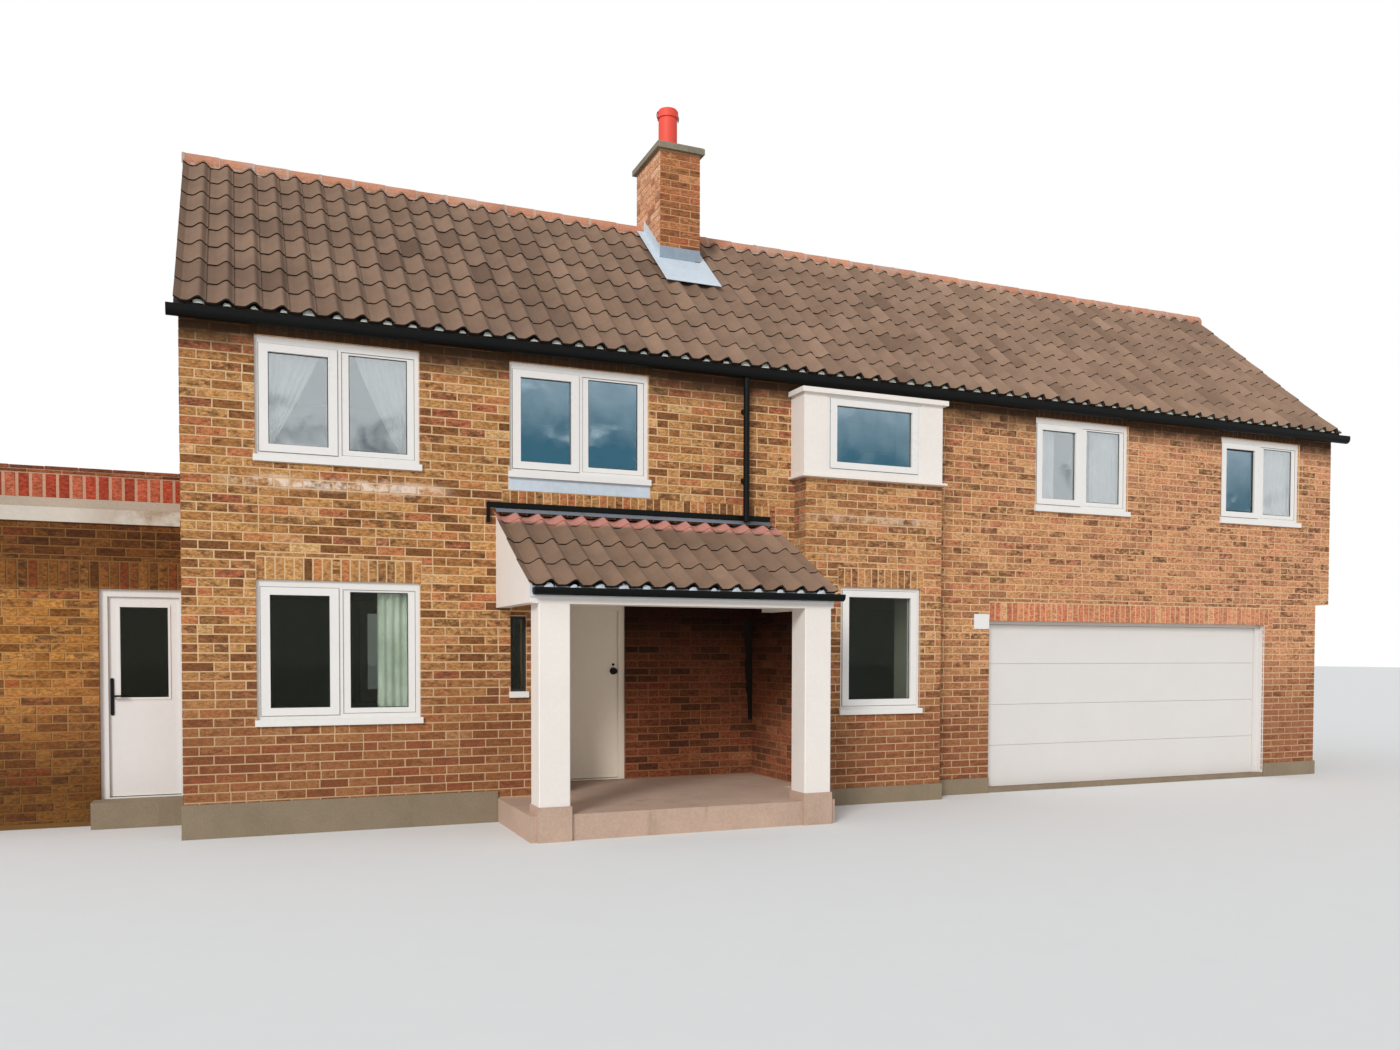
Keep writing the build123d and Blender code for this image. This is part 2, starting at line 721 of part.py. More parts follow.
# Porch
floor_front_y = porch_front_y + porch_floor_back
floor_front = block(porch_edge_x[0], porch_edge_x[1], floor_front_y, 0, ground_z, porch_floor_z)
floor_back = block(recess_x[0], recess_x[1], 0, recess_y, ground_z, porch_floor_z)
side_fill = block(porch_edge_x[1], bay_x[0], side_fill_back - bay_depth_out, 0, ground_z, porch_floor_z)
columns = []
bases = []
under_y = porch_front_y + column_w
for x in (column_left_x, column_right_x):
    post = block(x, x + column_w, porch_front_y, under_y, column_base_z, beam_bottom_z)
    columns.append(chamfer(post.edges().filter_by(Axis.Z), column_chamfer))
    base_x = (x - base_grow, x + column_w + base_grow)
    base_y = (porch_front_y - base_grow, under_y + base_grow)
    bases.append(block(base_x[0], base_x[1], base_y[0], base_y[1], ground_z, column_base_z))
save("porch_floor", floor_front + floor_back + side_fill + bases)
save("porch_columns", columns)

far_y = 2 * porch_front_y
deck_low = [(y, porch_top_at(y) - porch_roof_v) for y in (far_y, clear)]
deck_high = [(clear, sky_z), (far_y, sky_z)]
above_deck = prism_x(deck_low + deck_high, porch_tile_x[0] - clear, porch_tile_x[1] + clear)
inner_x = (cheek_x[0] + cheek_thick, cheek_x[1])
beam = block(inner_x[0], inner_x[1], porch_front_y, under_y, beam_bottom_z, porch_top_z)
side_beam_top = recess_ceiling_z + 2 * ceiling_thick
beam += block(inner_x[0], inner_x[0] + side_beam_w, under_y, 0, cheek_bottom_z, side_beam_top)
beam += block(inner_x[1] - side_beam_w, inner_x[1], under_y, 0, cheek_bottom_z, side_beam_top)
save("porch_beams", beam - above_deck)
ceiling = block(inner_x[0] + side_beam_w, inner_x[1] - side_beam_w, under_y, 0, recess_ceiling_z, lintel_z)
ceiling += block(recess_x[0], recess_x[1], 0, recess_y, recess_ceiling_z, lintel_z)
save("porch_ceiling", ceiling)
deck_points = [
    (porch_front_y, porch_top_at(porch_front_y)),
    (0, porch_top_z),
    (0, porch_top_z - porch_roof_v),
    (porch_front_y, porch_top_at(porch_front_y) - porch_roof_v),
]
save("porch_roof", prism_x(deck_points, inner_x[0], inner_x[1]))
cheek_points = [
    (porch_front_y, cheek_bottom_z),
    (porch_front_y, porch_top_at(porch_front_y)),
    (0, porch_top_z),
    (0, cheek_bottom_z),
]
cheeks = [prism_x(cheek_points, x, x + cheek_thick) for x in cheek_x]
save("porch_cheeks", cheeks)
board_top_z = porch_top_at(porch_board_y)
board_x = (cheek_x[0], cheek_x[1] + cheek_thick)
eaves_board = block(board_x[0], board_x[1], porch_board_y, porch_front_y, porch_board_z, board_top_z)
save("porch_eaves_board", eaves_board)
tail_y = porch_front_y - porch_tile_out
porch_low = (tail_y, porch_top_at(tail_y))
porch_high = (porch_tile_top_y, porch_top_at(porch_tile_top_y))
x0, x1 = porch_tile_x
save("porch_tiles", tile_layer(x0, x1, porch_low, porch_high, porch_pitch, porch_tile_v, porch_roll_v))
x0, x1 = porch_gutter_x
low_gutter = gutter(x0, x1, porch_board_y, porch_gutter_top_z, porch_gutter_w, porch_gutter_h)
save("gutters", [front_gutter, mirror_back(front_gutter), low_gutter])

# Black strip with its turned-down end, and the lead under it, where the porch roof meets the wall
strip_x = (porch_tile_x[0] - strip_left_out, porch_tile_x[1] - strip_right_in)
strip_z = porch_top_z + strip_lift
cover = block(strip_x[0], strip_x[1], -strip_thick, 0, strip_z, strip_z + strip_h)
left_drop_z = porch_top_z - strip_left_drop
cover += block(strip_x[0], strip_x[0] + strip_end_w, -strip_thick, 0, left_drop_z, strip_z)
save("porch_cover_strip", cover)
apron_top_z = porch_crest_at(porch_tile_top_y)
apron_low_z = porch_crest_at(-porch_apron_out)
porch_apron = prism_x(
    [
        (-porch_apron_out, apron_low_z),
        (porch_tile_top_y, apron_top_z),
        (0, apron_top_z),
        (0, apron_top_z + lead),
        (porch_tile_top_y, apron_top_z + lead),
        (-porch_apron_out, apron_low_z + lead),
    ],
    porch_tile_x[0] + apron_side,
    strip_x[1],
)
save("wall_flashings", [porch_apron, window_apron])

# Front door
jamb_y0 = recess_y + door_set_in
jamb_y1 = jamb_y0 + door_frame_depth
frame = block(door_open_x[0], door_open_x[1], jamb_y0, jamb_y1, floor_top_z, door_head_z)
leaf_x0 = door_open_x[0] + door_jamb
leaf_x1 = door_open_x[1] - door_jamb
leaf_top = door_head_z - door_jamb


def door_holes(x0, x1, y0, y1, z0, z1):
    """What a door frame loses: the leaf's rebate, and the way through inside its stops."""
    rebate = block(x0 - door_gap, x1 + door_gap, y0 + door_rebate, y1 + 1, z0 - door_gap, z1 + door_gap)
    return rebate + block(x0 + stop_w, x1 - stop_w, y0 - 1, y1 + 1, z0 - door_gap, z1 - stop_w)


frame -= door_holes(leaf_x0, leaf_x1, jamb_y0, jamb_y1, door_bottom_z, leaf_top)
leaf_y0 = jamb_y0 + door_rebate + door_gap
leaf_y1 = leaf_y0 + door_thick
leaf = block(leaf_x0, leaf_x1, leaf_y0, leaf_y1, door_bottom_z, leaf_top)
for z in (door_bottom_z + hinge_low, (door_bottom_z + leaf_top) / 2, leaf_top - hinge_high):
    on_frame, on_leaf = hinge(leaf_x0 - hinge_side, jamb_y1 + hinge_out, z, 1, jamb_y1, leaf_y1)
    frame += on_frame
    leaf += on_leaf
save("front_door_frame", frame)
save("front_door", leaf)
knob_outline = [
    (0, 0),
    (knob_rose_r, 0),
    (knob_rose_r, knob_rose_thick),
    (knob_neck_r, knob_rose_thick),
    (knob_neck_r, knob_reach),
    (knob_ball_r, knob_reach),
    (knob_ball_r, knob_reach + knob_ball_thick),
    (0, knob_reach + knob_ball_thick),
]
knob_face = make_face(Polyline(*[(r, 0, z) for r, z in knob_outline], close=True))
knob_x = leaf_x1 - knob_in
knob = Pos(knob_x, leaf_y0, knob_z) * Rot(90, 0, 0) * revolve(knob_face, axis=Axis.Z)
lock = Pos(knob_x, leaf_y0 - lock_thick / 2, keyhole_z) * Rot(90, 0, 0) * Cylinder(lock_r, lock_thick)
save("front_door_knob", [knob, lock])

# Garage door in an open frame
frame_y0 = garage_set_in
frame_y1 = garage_set_in + garage_frame_depth
frame_head_z = garage_head_z - garage_head_board
inner_x0 = garage_x[0] + garage_jamb
inner_x1 = garage_x[1] - garage_jamb
gframe = block(garage_x[0], garage_x[1], frame_y0, frame_y1, garage_floor_z, garage_head_z)
gframe -= block(inner_x0, inner_x1, frame_y0 - 1, frame_y1 + 1, garage_floor_z - 1, frame_head_z)
save("garage_door_frame", gframe)
gdoor_x0 = inner_x0 - garage_door_lap
gdoor_x1 = inner_x1 + garage_door_lap
gdoor_top = frame_head_z + garage_door_lap
gdoor = block(gdoor_x0, gdoor_x1, frame_y1, frame_y1 + garage_door_thick, garage_floor_z, gdoor_top)
face_y = frame_y1 - garage_door_thick
slack = garage_door_slack
gdoor += block(inner_x0 + slack, inner_x1 - slack, face_y, frame_y1, garage_floor_z, frame_head_z - slack)
section_h = (gdoor_top - garage_floor_z) / garage_sections
for i in range(1, garage_sections):
    z = garage_floor_z + i * section_h
    gdoor -= block(garage_x[0], garage_x[1], face_y - 1, face_y + groove, z - groove / 2, z + groove / 2)
save("garage_door", gdoor)

# Bare plaque on the brick pier beside the garage
plaque_x = (garage_x[0] - plaque_in - plaque_w, garage_x[0] - plaque_in)
save("wall_plaque", block(plaque_x[0], plaque_x[1], -plaque_thick, 0, plaque_z, plaque_z + plaque_h))

# Side wing
wing_front = block(wing_left_x, side_open_x, wing_y, wing_y + wall, ground_z, wing_wall_top_z)
save("wing_door_head", block(side_open_x, 0, wing_y, wing_y + wall, side_head_z, wing_wall_top_z))
wing_in_x = wing_left_x + wall
wing_side = block(wing_left_x, wing_in_x, wing_y + wall, depth - wall, ground_z, wing_wall_top_z)
save("wing_side_wall", wing_side)
wing_back = block(wing_left_x, 0, depth - wall, depth, ground_z, wing_wall_top_z)
save("wing_long_walls", [wing_front, wing_back])
wing_floor = block(wing_in_x, 0, wing_y + wall, depth - wall, ground_z, wing_floor_z)
wing_roof = block(wing_left_x, 0, wing_y, depth, wing_wall_top_z, wing_board_top_z)
save("wing_slabs", [wing_floor, wing_roof])
board_left_x = wing_left_x - wing_board_thick
board = block(board_left_x, 0, wing_y - wing_board_thick, wing_y, wing_wall_top_z, wing_board_top_z)
board += block(board_left_x, wing_left_x, wing_y, depth, wing_wall_top_z, wing_board_top_z)
save("wing_fascia", board)


def parapet(out, z0, z1):
    """Three-sided ring on the wing's walls, open where it meets the main house."""
    shape = block(wing_left_x - out, 0, wing_y - out, depth, z0, z1)
    well_x = wing_left_x + wing_coping_w
    return shape - block(well_x, 1, wing_y + wing_coping_w, depth - wing_coping_w, z0 - 1, z1 + 1)


save("wing_parapet_band", parapet(wing_band_out, wing_board_top_z, wing_band_top_z))
save("wing_coping", parapet(0, wing_band_top_z, wing_coping_top_z))

# Side door
side_y0 = wing_y + side_set_in
side_y1 = side_y0 + door_frame_depth
side_bottom = step_z + side_sill_h
sframe = block(side_open_x, 0, side_y0, side_y1, step_z, side_head_z)
sframe -= door_holes(side_leaf_x[0], side_leaf_x[1], side_y0, side_y1, side_bottom, side_leaf_top)
sleaf_y0 = side_y0 + door_rebate + door_gap
sleaf_y1 = sleaf_y0 + door_thick
sleaf = block(side_leaf_x[0], side_leaf_x[1], sleaf_y0, sleaf_y1, side_bottom, side_leaf_top)
bead_x = (side_glass_x[0] - side_bead_w, side_glass_x[1] + side_bead_w)
bead_z = (side_glass_zz[0] - side_bead_w, side_glass_zz[1] + side_bead_w)
sleaf += block(bead_x[0], bead_x[1], sleaf_y0 - side_bead_out, sleaf_y0, bead_z[0], bead_z[1])
sleaf -= block(side_glass_x[0], side_glass_x[1], side_y0, side_y1 + wall, side_glass_zz[0], side_glass_zz[1])
for z in (side_bottom + hinge_low, (side_bottom + side_leaf_top) / 2, side_leaf_top - hinge_high):
    on_frame, on_leaf = hinge(side_leaf_x[1] + hinge_side, side_y1 + hinge_out, z, -1, side_y1, sleaf_y1)
    sframe += on_frame
    sleaf += on_leaf
save("side_door_frame", sframe)
save("side_door", sleaf)
pane_y = sleaf_y0 + side_pane_back
x0, x1 = side_glass_x
z0, z1 = side_glass_zz
save("side_door_glass", block(x0, x1, pane_y, pane_y + pane_thick, z0, z1))
plate_x = (side_lever_x - plate_w / 2, side_lever_x + plate_w / 2)
plate_z = (side_lever_z - plate_below, side_lever_z + plate_above)
plate = block(plate_x[0], plate_x[1], sleaf_y0 - plate_thick, sleaf_y0, plate_z[0], plate_z[1])
save("side_door_plate", fillet(plate.edges().filter_by(Axis.Y), plate_fillet))
shank_y = sleaf_y0 - plate_thick - lever_gap
grip_y = shank_y - lever_reach
shank = Rot(90, 0, 0) * Cylinder(lever_r, lever_reach)
lever = Pos(side_lever_x, (shank_y + grip_y) / 2, side_lever_z) * shank
grip_x = (side_lever_x - lever_r + 1, side_lever_x + lever_len)
grip_z = (side_lever_z - lever_w / 2, side_lever_z + lever_w / 2)
lever += block(grip_x[0], grip_x[1], grip_y - lever_grip, grip_y + lever_bite, grip_z[0], grip_z[1])
save("side_door_lever", lever)
step = block(step_x, 0, step_y, wing_y, ground_z, step_z)
save("side_door_step", step + block(side_open_x, 0, wing_y, wing_y + wall, ground_z, step_z))
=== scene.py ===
import math
import random

import bpy
import numpy as np
from mathutils import Matrix, Vector


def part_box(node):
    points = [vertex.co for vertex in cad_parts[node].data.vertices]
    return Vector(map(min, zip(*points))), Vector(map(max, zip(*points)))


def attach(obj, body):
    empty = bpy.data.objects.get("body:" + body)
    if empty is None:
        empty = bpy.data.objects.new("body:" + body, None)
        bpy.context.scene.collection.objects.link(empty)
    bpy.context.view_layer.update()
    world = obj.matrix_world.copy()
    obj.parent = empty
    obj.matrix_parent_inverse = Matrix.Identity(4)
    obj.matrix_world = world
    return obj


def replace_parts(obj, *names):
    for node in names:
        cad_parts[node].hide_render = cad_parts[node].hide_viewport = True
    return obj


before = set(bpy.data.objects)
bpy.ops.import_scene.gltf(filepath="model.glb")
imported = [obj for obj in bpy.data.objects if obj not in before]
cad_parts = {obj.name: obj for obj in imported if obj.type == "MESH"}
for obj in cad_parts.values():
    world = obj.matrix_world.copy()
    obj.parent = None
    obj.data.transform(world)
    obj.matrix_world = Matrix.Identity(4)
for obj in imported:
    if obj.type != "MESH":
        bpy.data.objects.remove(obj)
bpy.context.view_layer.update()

scene = bpy.context.scene
scene.view_settings.view_transform = "Standard"
print("frame loaded:", len(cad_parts), "nodes")

# Camera at the photograph's place, with the picture's centre shifted up for straight walls
camera = {
    "spot": (-6.9494, -13.4180, 1.7264),
    "yaw": 22.90,
    "pitch": 1.56,
    "roll": 0.12,
    "focalPixels": 1093.6,
    "aimPixel": (700.6, 681.2),
    "pictureSize": (1400, 1050),
    "sensor": 36.0,
    "farthest": 200,
}


def makeCamera(c):
    yaw, pitch, roll = (math.radians(c[k]) for k in ("yaw", "pitch", "roll"))
    look = Vector((math.sin(yaw) * math.cos(pitch), math.cos(yaw) * math.cos(pitch), -math.sin(pitch)))
    level = Vector((math.cos(yaw), -math.sin(yaw), 0))
    upright = level.cross(look)
    right = level * math.cos(roll) + upright * math.sin(roll)
    up = upright * math.cos(roll) - level * math.sin(roll)
    data = bpy.data.cameras.new("houseCamera")
    data.sensor_width = c["sensor"]
    width, height = c["pictureSize"]
    data.lens = c["sensor"] * c["focalPixels"] / width
    data.shift_x = (width / 2 - c["aimPixel"][0]) / width
    data.shift_y = (c["aimPixel"][1] - height / 2) / width
    data.clip_end = c["farthest"]
    made = bpy.data.objects.new("houseCamera", data)
    turn = Matrix((right, up, -look)).transposed().to_4x4()
    made.matrix_world = Matrix.Translation(c["spot"]) @ turn
    scene.collection.objects.link(made)
    scene.camera = made


makeCamera(camera)
print("camera placed")


# Colours as the eye reads them, 0 to 255
def srgb(r, g, b):
    parts = [c / 255 for c in (r, g, b)]
    return (*[c / 12.92 if c <= 0.04045 else ((c + 0.055) / 1.055) ** 2.4 for c in parts], 1.0)


def shades(stops):
    return [(spot, srgb(*colour)) for spot, colour in stops]


def scaled(colour, share):
    return (*[min(1, c * share) for c in colour[:3]], 1.0)


# Short calls for the nodes of one material or group
class Nodes:
    def __init__(self, tree):
        self.tree = tree

    def put(self, value, socket):
        if isinstance(value, bpy.types.NodeSocket):
            self.tree.links.new(value, socket)
        else:
            socket.default_value = value

    def add(self, kind, sockets=(), **settings):
        made = self.tree.nodes.new("ShaderNode" + kind)
        for key, value in settings.items():
            setattr(made, key, value)
        for key, value in dict(sockets).items():
            self.put(value, made.inputs[key])
        return made

    def use(self, group, **values):
        return self.add("Group", values, node_tree=group).outputs

    def maths(self, kind, a, b=0.0, clamp=False):
        return self.add("Math", {0: a, 1: b}, operation=kind, use_clamp=clamp).outputs[0]

    def times(self, a, b):
        return self.maths("MULTIPLY", a, b)

    def plus(self, a, b, clamp=False):
        return self.maths("ADD", a, b, clamp)

    def minus(self, a, b):
        return self.maths("SUBTRACT", a, b)

    def place(self):
        return self.add("TexCoord").outputs["Object"]

    def axis(self, number):
        return self.add("SeparateXYZ", {0: self.place()}).outputs[number]

    def vectors(self, kind, a, b):
        return self.add("VectorMath", {0: a, 1: b}, operation=kind).outputs[0]

    def noise(self, vector, scale, detail, rough=0.5, bend=0.0, output=0):
        sockets = {"Vector": vector, "Scale": scale, "Detail": detail, "Roughness": rough, "Distortion": bend}
        return self.add("TexNoise", sockets).outputs[output]

    def cells(self, vector, scale):
        return self.add("TexVoronoi", {"Vector": vector, "Scale": scale}).outputs["Distance"]

    def fade(self, value, low, high):
        return self.add("MapRange", {0: value, 1: low, 2: high}, clamp=True).outputs[0]

    def span(self, value, low, high):
        smooth = {"clamp": True, "interpolation_type": "SMOOTHSTEP"}
        return self.add("MapRange", {0: value, 1: low, 2: high}, **smooth).outputs[0]

    def blend(self, share, a, b, kind="MIX"):
        settings = {"data_type": "RGBA", "blend_type": kind, "clamp_factor": True}
        return self.add("Mix", {0: share, 6: a, 7: b}, **settings).outputs[2]

    def ramp(self, share, stops):
        made = self.add("ValToRGB", {0: share})
        bar = made.color_ramp
        for spot, colour in stops[2:]:
            bar.elements.new(spot)
        for element, (spot, colour) in zip(sorted(bar.elements, key=lambda e: e.position), sorted(stops)):
            element.position = spot
            element.color = colour
        return made.outputs[0]

    # Darkens below the first stop of the mask and lightens above the second
    def speckle(self, look, share, mask, low, high):
        stops = [(spot, (*colour, 1)) for spot, colour in (low, high)]
        return self.blend(share, look, self.ramp(mask, stops), "MULTIPLY")


# Effects shared by several materials
def newGroup(name, inputs, outputs=("Mask",)):
    group = bpy.data.node_groups.new(name, "ShaderNodeTree")
    for title, value in inputs.items():
        socket = group.interface.new_socket(title, in_out="INPUT", socket_type="NodeSocketFloat")
        socket.default_value = value
    for title in outputs:
        group.interface.new_socket(title, in_out="OUTPUT", socket_type="NodeSocketFloat")
    given, result = group.nodes.new("NodeGroupInput"), group.nodes.new("NodeGroupOutput")
    return Nodes(group), given.outputs, result.inputs


def makeGrainGroup():
    k, given, result = newGroup("fineGrain", {"Scale": 60.0, "Coarse": 0.5}, ("Mask", "Height"))
    place = k.place()
    fine = k.noise(place, given["Scale"], detail=4.0)
    cloud = k.noise(place, scale=1.7, detail=5.0, rough=0.6)
    fineShare = k.times(fine, k.minus(1.0, given["Coarse"]))
    k.put(k.plus(fineShare, k.times(cloud, given["Coarse"]), True), result["Mask"])
    pitShare = 0.4
    k.put(k.plus(fine, k.times(k.cells(place, given["Scale"]), pitShare)), result["Height"])
    return k.tree


def makeStainGroup():
    k, given, result = newGroup("rainStain", {"Scale": 3.0, "Amount": 0.5})
    place, drawnDown, soft = k.place(), (1.0, 1.0, 0.12), 0.2
    start, perAmount, streakShare = 0.75, 0.4, 0.65
    streak = k.noise(k.vectors("MULTIPLY", place, drawnDown), given["Scale"], detail=6.0, rough=0.65)
    patch = k.noise(place, scale=0.8, detail=3.0)
    low = k.minus(start, k.times(given["Amount"], perAmount))
    both = k.plus(k.times(streak, streakShare), k.times(patch, 1 - streakShare))
    k.put(k.fade(both, low, k.plus(low, soft)), result["Mask"])
    return k.tree


def makeSpotGroup():
    k, given, result = newGroup("lichenSpots", {"Scale": 14.0, "Cover": 0.3})
    place, core = k.place(), 0.6
    bent = k.noise(place, scale=22.0, detail=3.0, output=1)
    spread = k.noise(place, scale=1.3, detail=4.0)
    reach = k.times(given["Cover"], spread)
    cells = k.cells(k.vectors("ADD", place, bent), given["Scale"])
    k.put(k.fade(cells, reach, k.times(reach, core)), result["Mask"])
    return k.tree


def makeFootGroup():
    k, given, result = newGroup("footShade", {"Top": 1.2, "Depth": 0.9})
    ragged, depth = k.noise(k.place(), scale=1.1, detail=4.0), 0.8
    raised = k.minus(k.axis(2), k.times(ragged, depth))
    k.put(k.fade(raised, given["Top"], k.minus(given["Top"], given["Depth"])), result["Mask"])
    return k.tree


def makeBandGroup():
    k, given, result = newGroup("heightBand", {"Low": 1.0, "High": 2.0, "Ragged": 0.2})
    cloud = k.noise(k.place(), scale=5.0, detail=4.0)
    uneven = k.times(k.minus(cloud, 0.5), given["Ragged"])
    k.put(k.fade(k.plus(k.axis(2), uneven), given["Low"], given["High"]), result["Mask"])
    return k.tree


grainGroup = makeGrainGroup()
stainGroup = makeStainGroup()
spotGroup = makeSpotGroup()
footGroup = makeFootGroup()
bandGroup = makeBandGroup()


def newMaterial(name, roughness, specular=0.5):
    made = bpy.data.materials.new(name)
    made.use_nodes = True
    sockets = made.node_tree.nodes["Principled BSDF"].inputs
    sockets["Roughness"].default_value = roughness
    sockets["Specular IOR Level"].default_value = specular
    return made, Nodes(made.node_tree), sockets


def setLook(k, sockets, colour, height, depth):
    k.put(colour, sockets["Base Color"])
    bump = k.add("Bump", {"Height": height, "Distance": depth, "Strength": 1.0})
    k.put(bump.outputs[0], sockets["Normal"])


# Painted, cast or rendered surfaces: grain, then rain stains, lichen and bare patches where given
plainLook = {
    "coarse": 0.55,
    "stainScale": 4.0,
    "spotScale": 16.0,
    "wornShare": 0.75,
    "wornEdge": (0.38, 0.62),
    "stops": (0.3, 0.7),
    "smoother": 0.06,
    "rougher": 0.08,
}


def plainFinish(name, colour, roughness, grain=60.0, spread=0.12, bump=0.0006, stain=None, stained=0.4,
                spots=None, spotted=0.3, specular=0.5, worn=None):
    made, k, sockets = newMaterial(name, roughness, specular)
    look = plainLook
    colour = srgb(*colour)
    grains = k.use(grainGroup, Scale=grain, Coarse=look["coarse"])
    ends = (scaled(colour, 1 - 2 * spread), scaled(colour, 1 + spread))
    shade = k.ramp(grains["Mask"], list(zip(look["stops"], ends)))
    if stain:
        mask = k.use(stainGroup, Scale=look["stainScale"], Amount=stained)["Mask"]
        shade = k.blend(mask, shade, srgb(*stain))
    if spots:
        mask = k.use(spotGroup, Scale=look["spotScale"], Cover=spotted)["Mask"]
        shade = k.blend(mask, shade, srgb(*spots))
    if worn:
        ragged = k.noise(k.place(), scale=3.5, detail=6.0, rough=0.7)
        mask = k.times(k.span(k.axis(0), *worn), k.span(ragged, *look["wornEdge"]))
        shade = k.blend(k.times(mask, look["wornShare"]), shade, srgb(*stain))
    smoothest, roughest = max(0.02, roughness - look["smoother"]), min(1, roughness + look["rougher"])
    rough = k.add("MapRange", {0: grains["Mask"], 3: smoothest, 4: roughest})
    k.put(rough.outputs[0], sockets["Roughness"])
    setLook(k, sockets, shade, grains["Height"], bump)
    return made


plainFinishes = {
    "lumpMortar": {"colour": (206, 212, 200), "roughness": 0.95, "grain": 70.0, "spread": 0.1, "bump": 0.002},
    "roofFelt": {"colour": (104, 102, 100), "roughness": 0.9, "grain": 90.0, "bump": 0.001,
                 "stain": (84, 84, 80)},
    "roomPlaster": {"colour": (150, 148, 136), "roughness": 0.9, "grain": 30.0, "spread": 0.06},
    "roomFloor": {"colour": (132, 108, 84), "roughness": 0.7, "grain": 12.0, "spread": 0.14},
    "roofUnderlay": {"colour": (52, 42, 36), "roughness": 0.9, "grain": 40.0, "spread": 0.1},
    "ridgeClay": {"colour": (196, 132, 100), "roughness": 0.85, "grain": 50.0, "spread": 0.2, "bump": 0.001,
                  "stain": (176, 152, 134), "stained": 0.6, "spots": (206, 192, 176), "spotted": 0.5},
    "beddingMortar": {"colour": (190, 164, 146), "roughness": 0.95, "grain": 70.0, "spread": 0.16,
                      "bump": 0.002, "stain": (120, 112, 100), "stained": 0.3},
    "blackPlastic": {"colour": (15, 17, 15), "roughness": 0.45, "grain": 24.0, "bump": 0.0002,
                     "stain": (40, 42, 38), "stained": 0.12, "specular": 0.1},
    "whitePlastic": {"colour": (226, 222, 217), "roughness": 0.28, "grain": 20.0, "spread": 0.02,
                     "bump": 0.0001, "stain": (206, 202, 192), "stained": 0.12},
    "cornerStripDark": {"colour": (26, 18, 14), "roughness": 0.95, "grain": 40.0, "spread": 0.2, "bump": 0.001},
    "gasketRubberAndPaintedShade": {"colour": (34, 34, 34), "roughness": 0.6, "grain": 40.0, "spread": 0.1, "bump": 0.0002},
    "garagePaint": {"colour": (216, 211, 206), "roughness": 0.42, "grain": 90.0, "spread": 0.02,
                    "bump": 0.0004, "stain": (206, 200, 190), "stained": 0.1},
    "creamPaint": {"colour": (230, 222, 213), "roughness": 0.6, "grain": 26.0, "spread": 0.03, "bump": 0.0005,
                   "stain": (206, 192, 172), "stained": 0.28},
    "doorCream": {"colour": (254, 241, 220), "roughness": 0.45, "grain": 30.0, "spread": 0.03,
                  "bump": 0.0003},
    "blackMetal": {"colour": (16, 15, 14), "roughness": 0.5, "spread": 0.1, "bump": 0.0003, "specular": 0.15},
    "apronLead": {"colour": (112, 120, 130), "roughness": 0.6, "grain": 18.0, "spread": 0.1, "bump": 0.001,
                  "stain": (60, 62, 66), "stained": 0.6},
    "leadUprightShaded": {"colour": (138, 152, 164), "roughness": 0.55, "grain": 18.0, "spread": 0.08, "bump": 0.001,
                 "stain": (110, 120, 130)},
    "leadSheet": {"colour": (196, 206, 214), "roughness": 0.5, "grain": 18.0, "spread": 0.08, "bump": 0.001,
                  "stain": (166, 176, 182)},
    "renderedPlinth": {"colour": (138, 122, 99), "roughness": 0.92, "grain": 80.0, "spread": 0.14,
                       "bump": 0.002, "stain": (112, 100, 80), "stained": 0.5},
    "cementBand": {"colour": (180, 163, 144), "roughness": 0.92, "grain": 70.0, "spread": 0.1, "bump": 0.002,
                   "stain": (150, 134, 116)},
    "porchConcrete": {"colour": (186, 158, 138), "roughness": 0.85, "bump": 0.001, "stain": (122, 98, 84)},
    "chimneyConcrete": {"colour": (132, 122, 104), "roughness": 0.95, "spread": 0.16, "bump": 0.003,
                        "stain": (84, 78, 62), "stained": 0.5, "spots": (174, 166, 140), "spotted": 0.5},
    "potClay": {"colour": (228, 74, 54), "roughness": 0.6, "grain": 50.0, "spread": 0.06,
                "stain": (196, 60, 44), "stained": 0.3},
    "eavesBoard": {"colour": (206, 214, 222), "roughness": 0.5, "grain": 24.0, "spread": 0.05, "bump": 0.0004,
                   "stain": (150, 158, 166), "stained": 0.35},
    "wingBoard": {"colour": (200, 191, 177), "roughness": 0.7, "grain": 24.0, "spread": 0.05,
                  "stain": (140, 108, 70), "stained": 0.3, "worn": (-8.5, -7.6)},
}

# Brickwork: tones along a ramp by brick, burnt patches, redder foot, salts under the first window
brickTones = {
    "tan": [(0.00, (114, 74, 42)), (0.10, (140, 92, 52)), (0.28, (166, 116, 68)), (0.50, (182, 134, 84)),
            (0.72, (192, 144, 90)), (0.84, (186, 124, 78)), (0.93, (168, 96, 66)), (1.00, (206, 166, 114))],
    # The recess tones are a darker, redder copy of the brick tones, painted shade for the porch recess; the
    # creasing tiles use them too
    "recess": [(0.00, (76, 40, 26)), (0.30, (120, 66, 40)), (0.60, (148, 84, 52)), (0.85, (136, 66, 46)),
               (1.00, (160, 104, 68))],
    "wing": [(0.00, (120, 74, 32)), (0.25, (152, 100, 46)), (0.55, (176, 120, 58)), (0.80, (184, 130, 68)),
             (1.00, (158, 86, 46))],
    "red": [(0.00, (150, 60, 40)), (0.40, (174, 70, 46)), (0.75, (184, 80, 54)), (1.00, (180, 100, 72))],
    # A paler copy of the stack tones: painted light on the stack's sunlit left side
    "stackLitSide": [(0.00, (160, 106, 78)), (0.35, (204, 146, 114)), (0.75, (220, 164, 130)),
                  (1.00, (226, 182, 150))],
    "stack": [(0.00, (112, 66, 38)), (0.30, (150, 94, 58)), (0.55, (172, 114, 70)), (0.85, (164, 92, 60)),
              (1.00, (190, 134, 90))],
    "lintel": [(0.00, (140, 74, 44)), (0.30, (190, 96, 64)), (0.50, (200, 136, 90)), (0.75, (206, 110, 76)),
               (1.00, (214, 164, 118))],
}
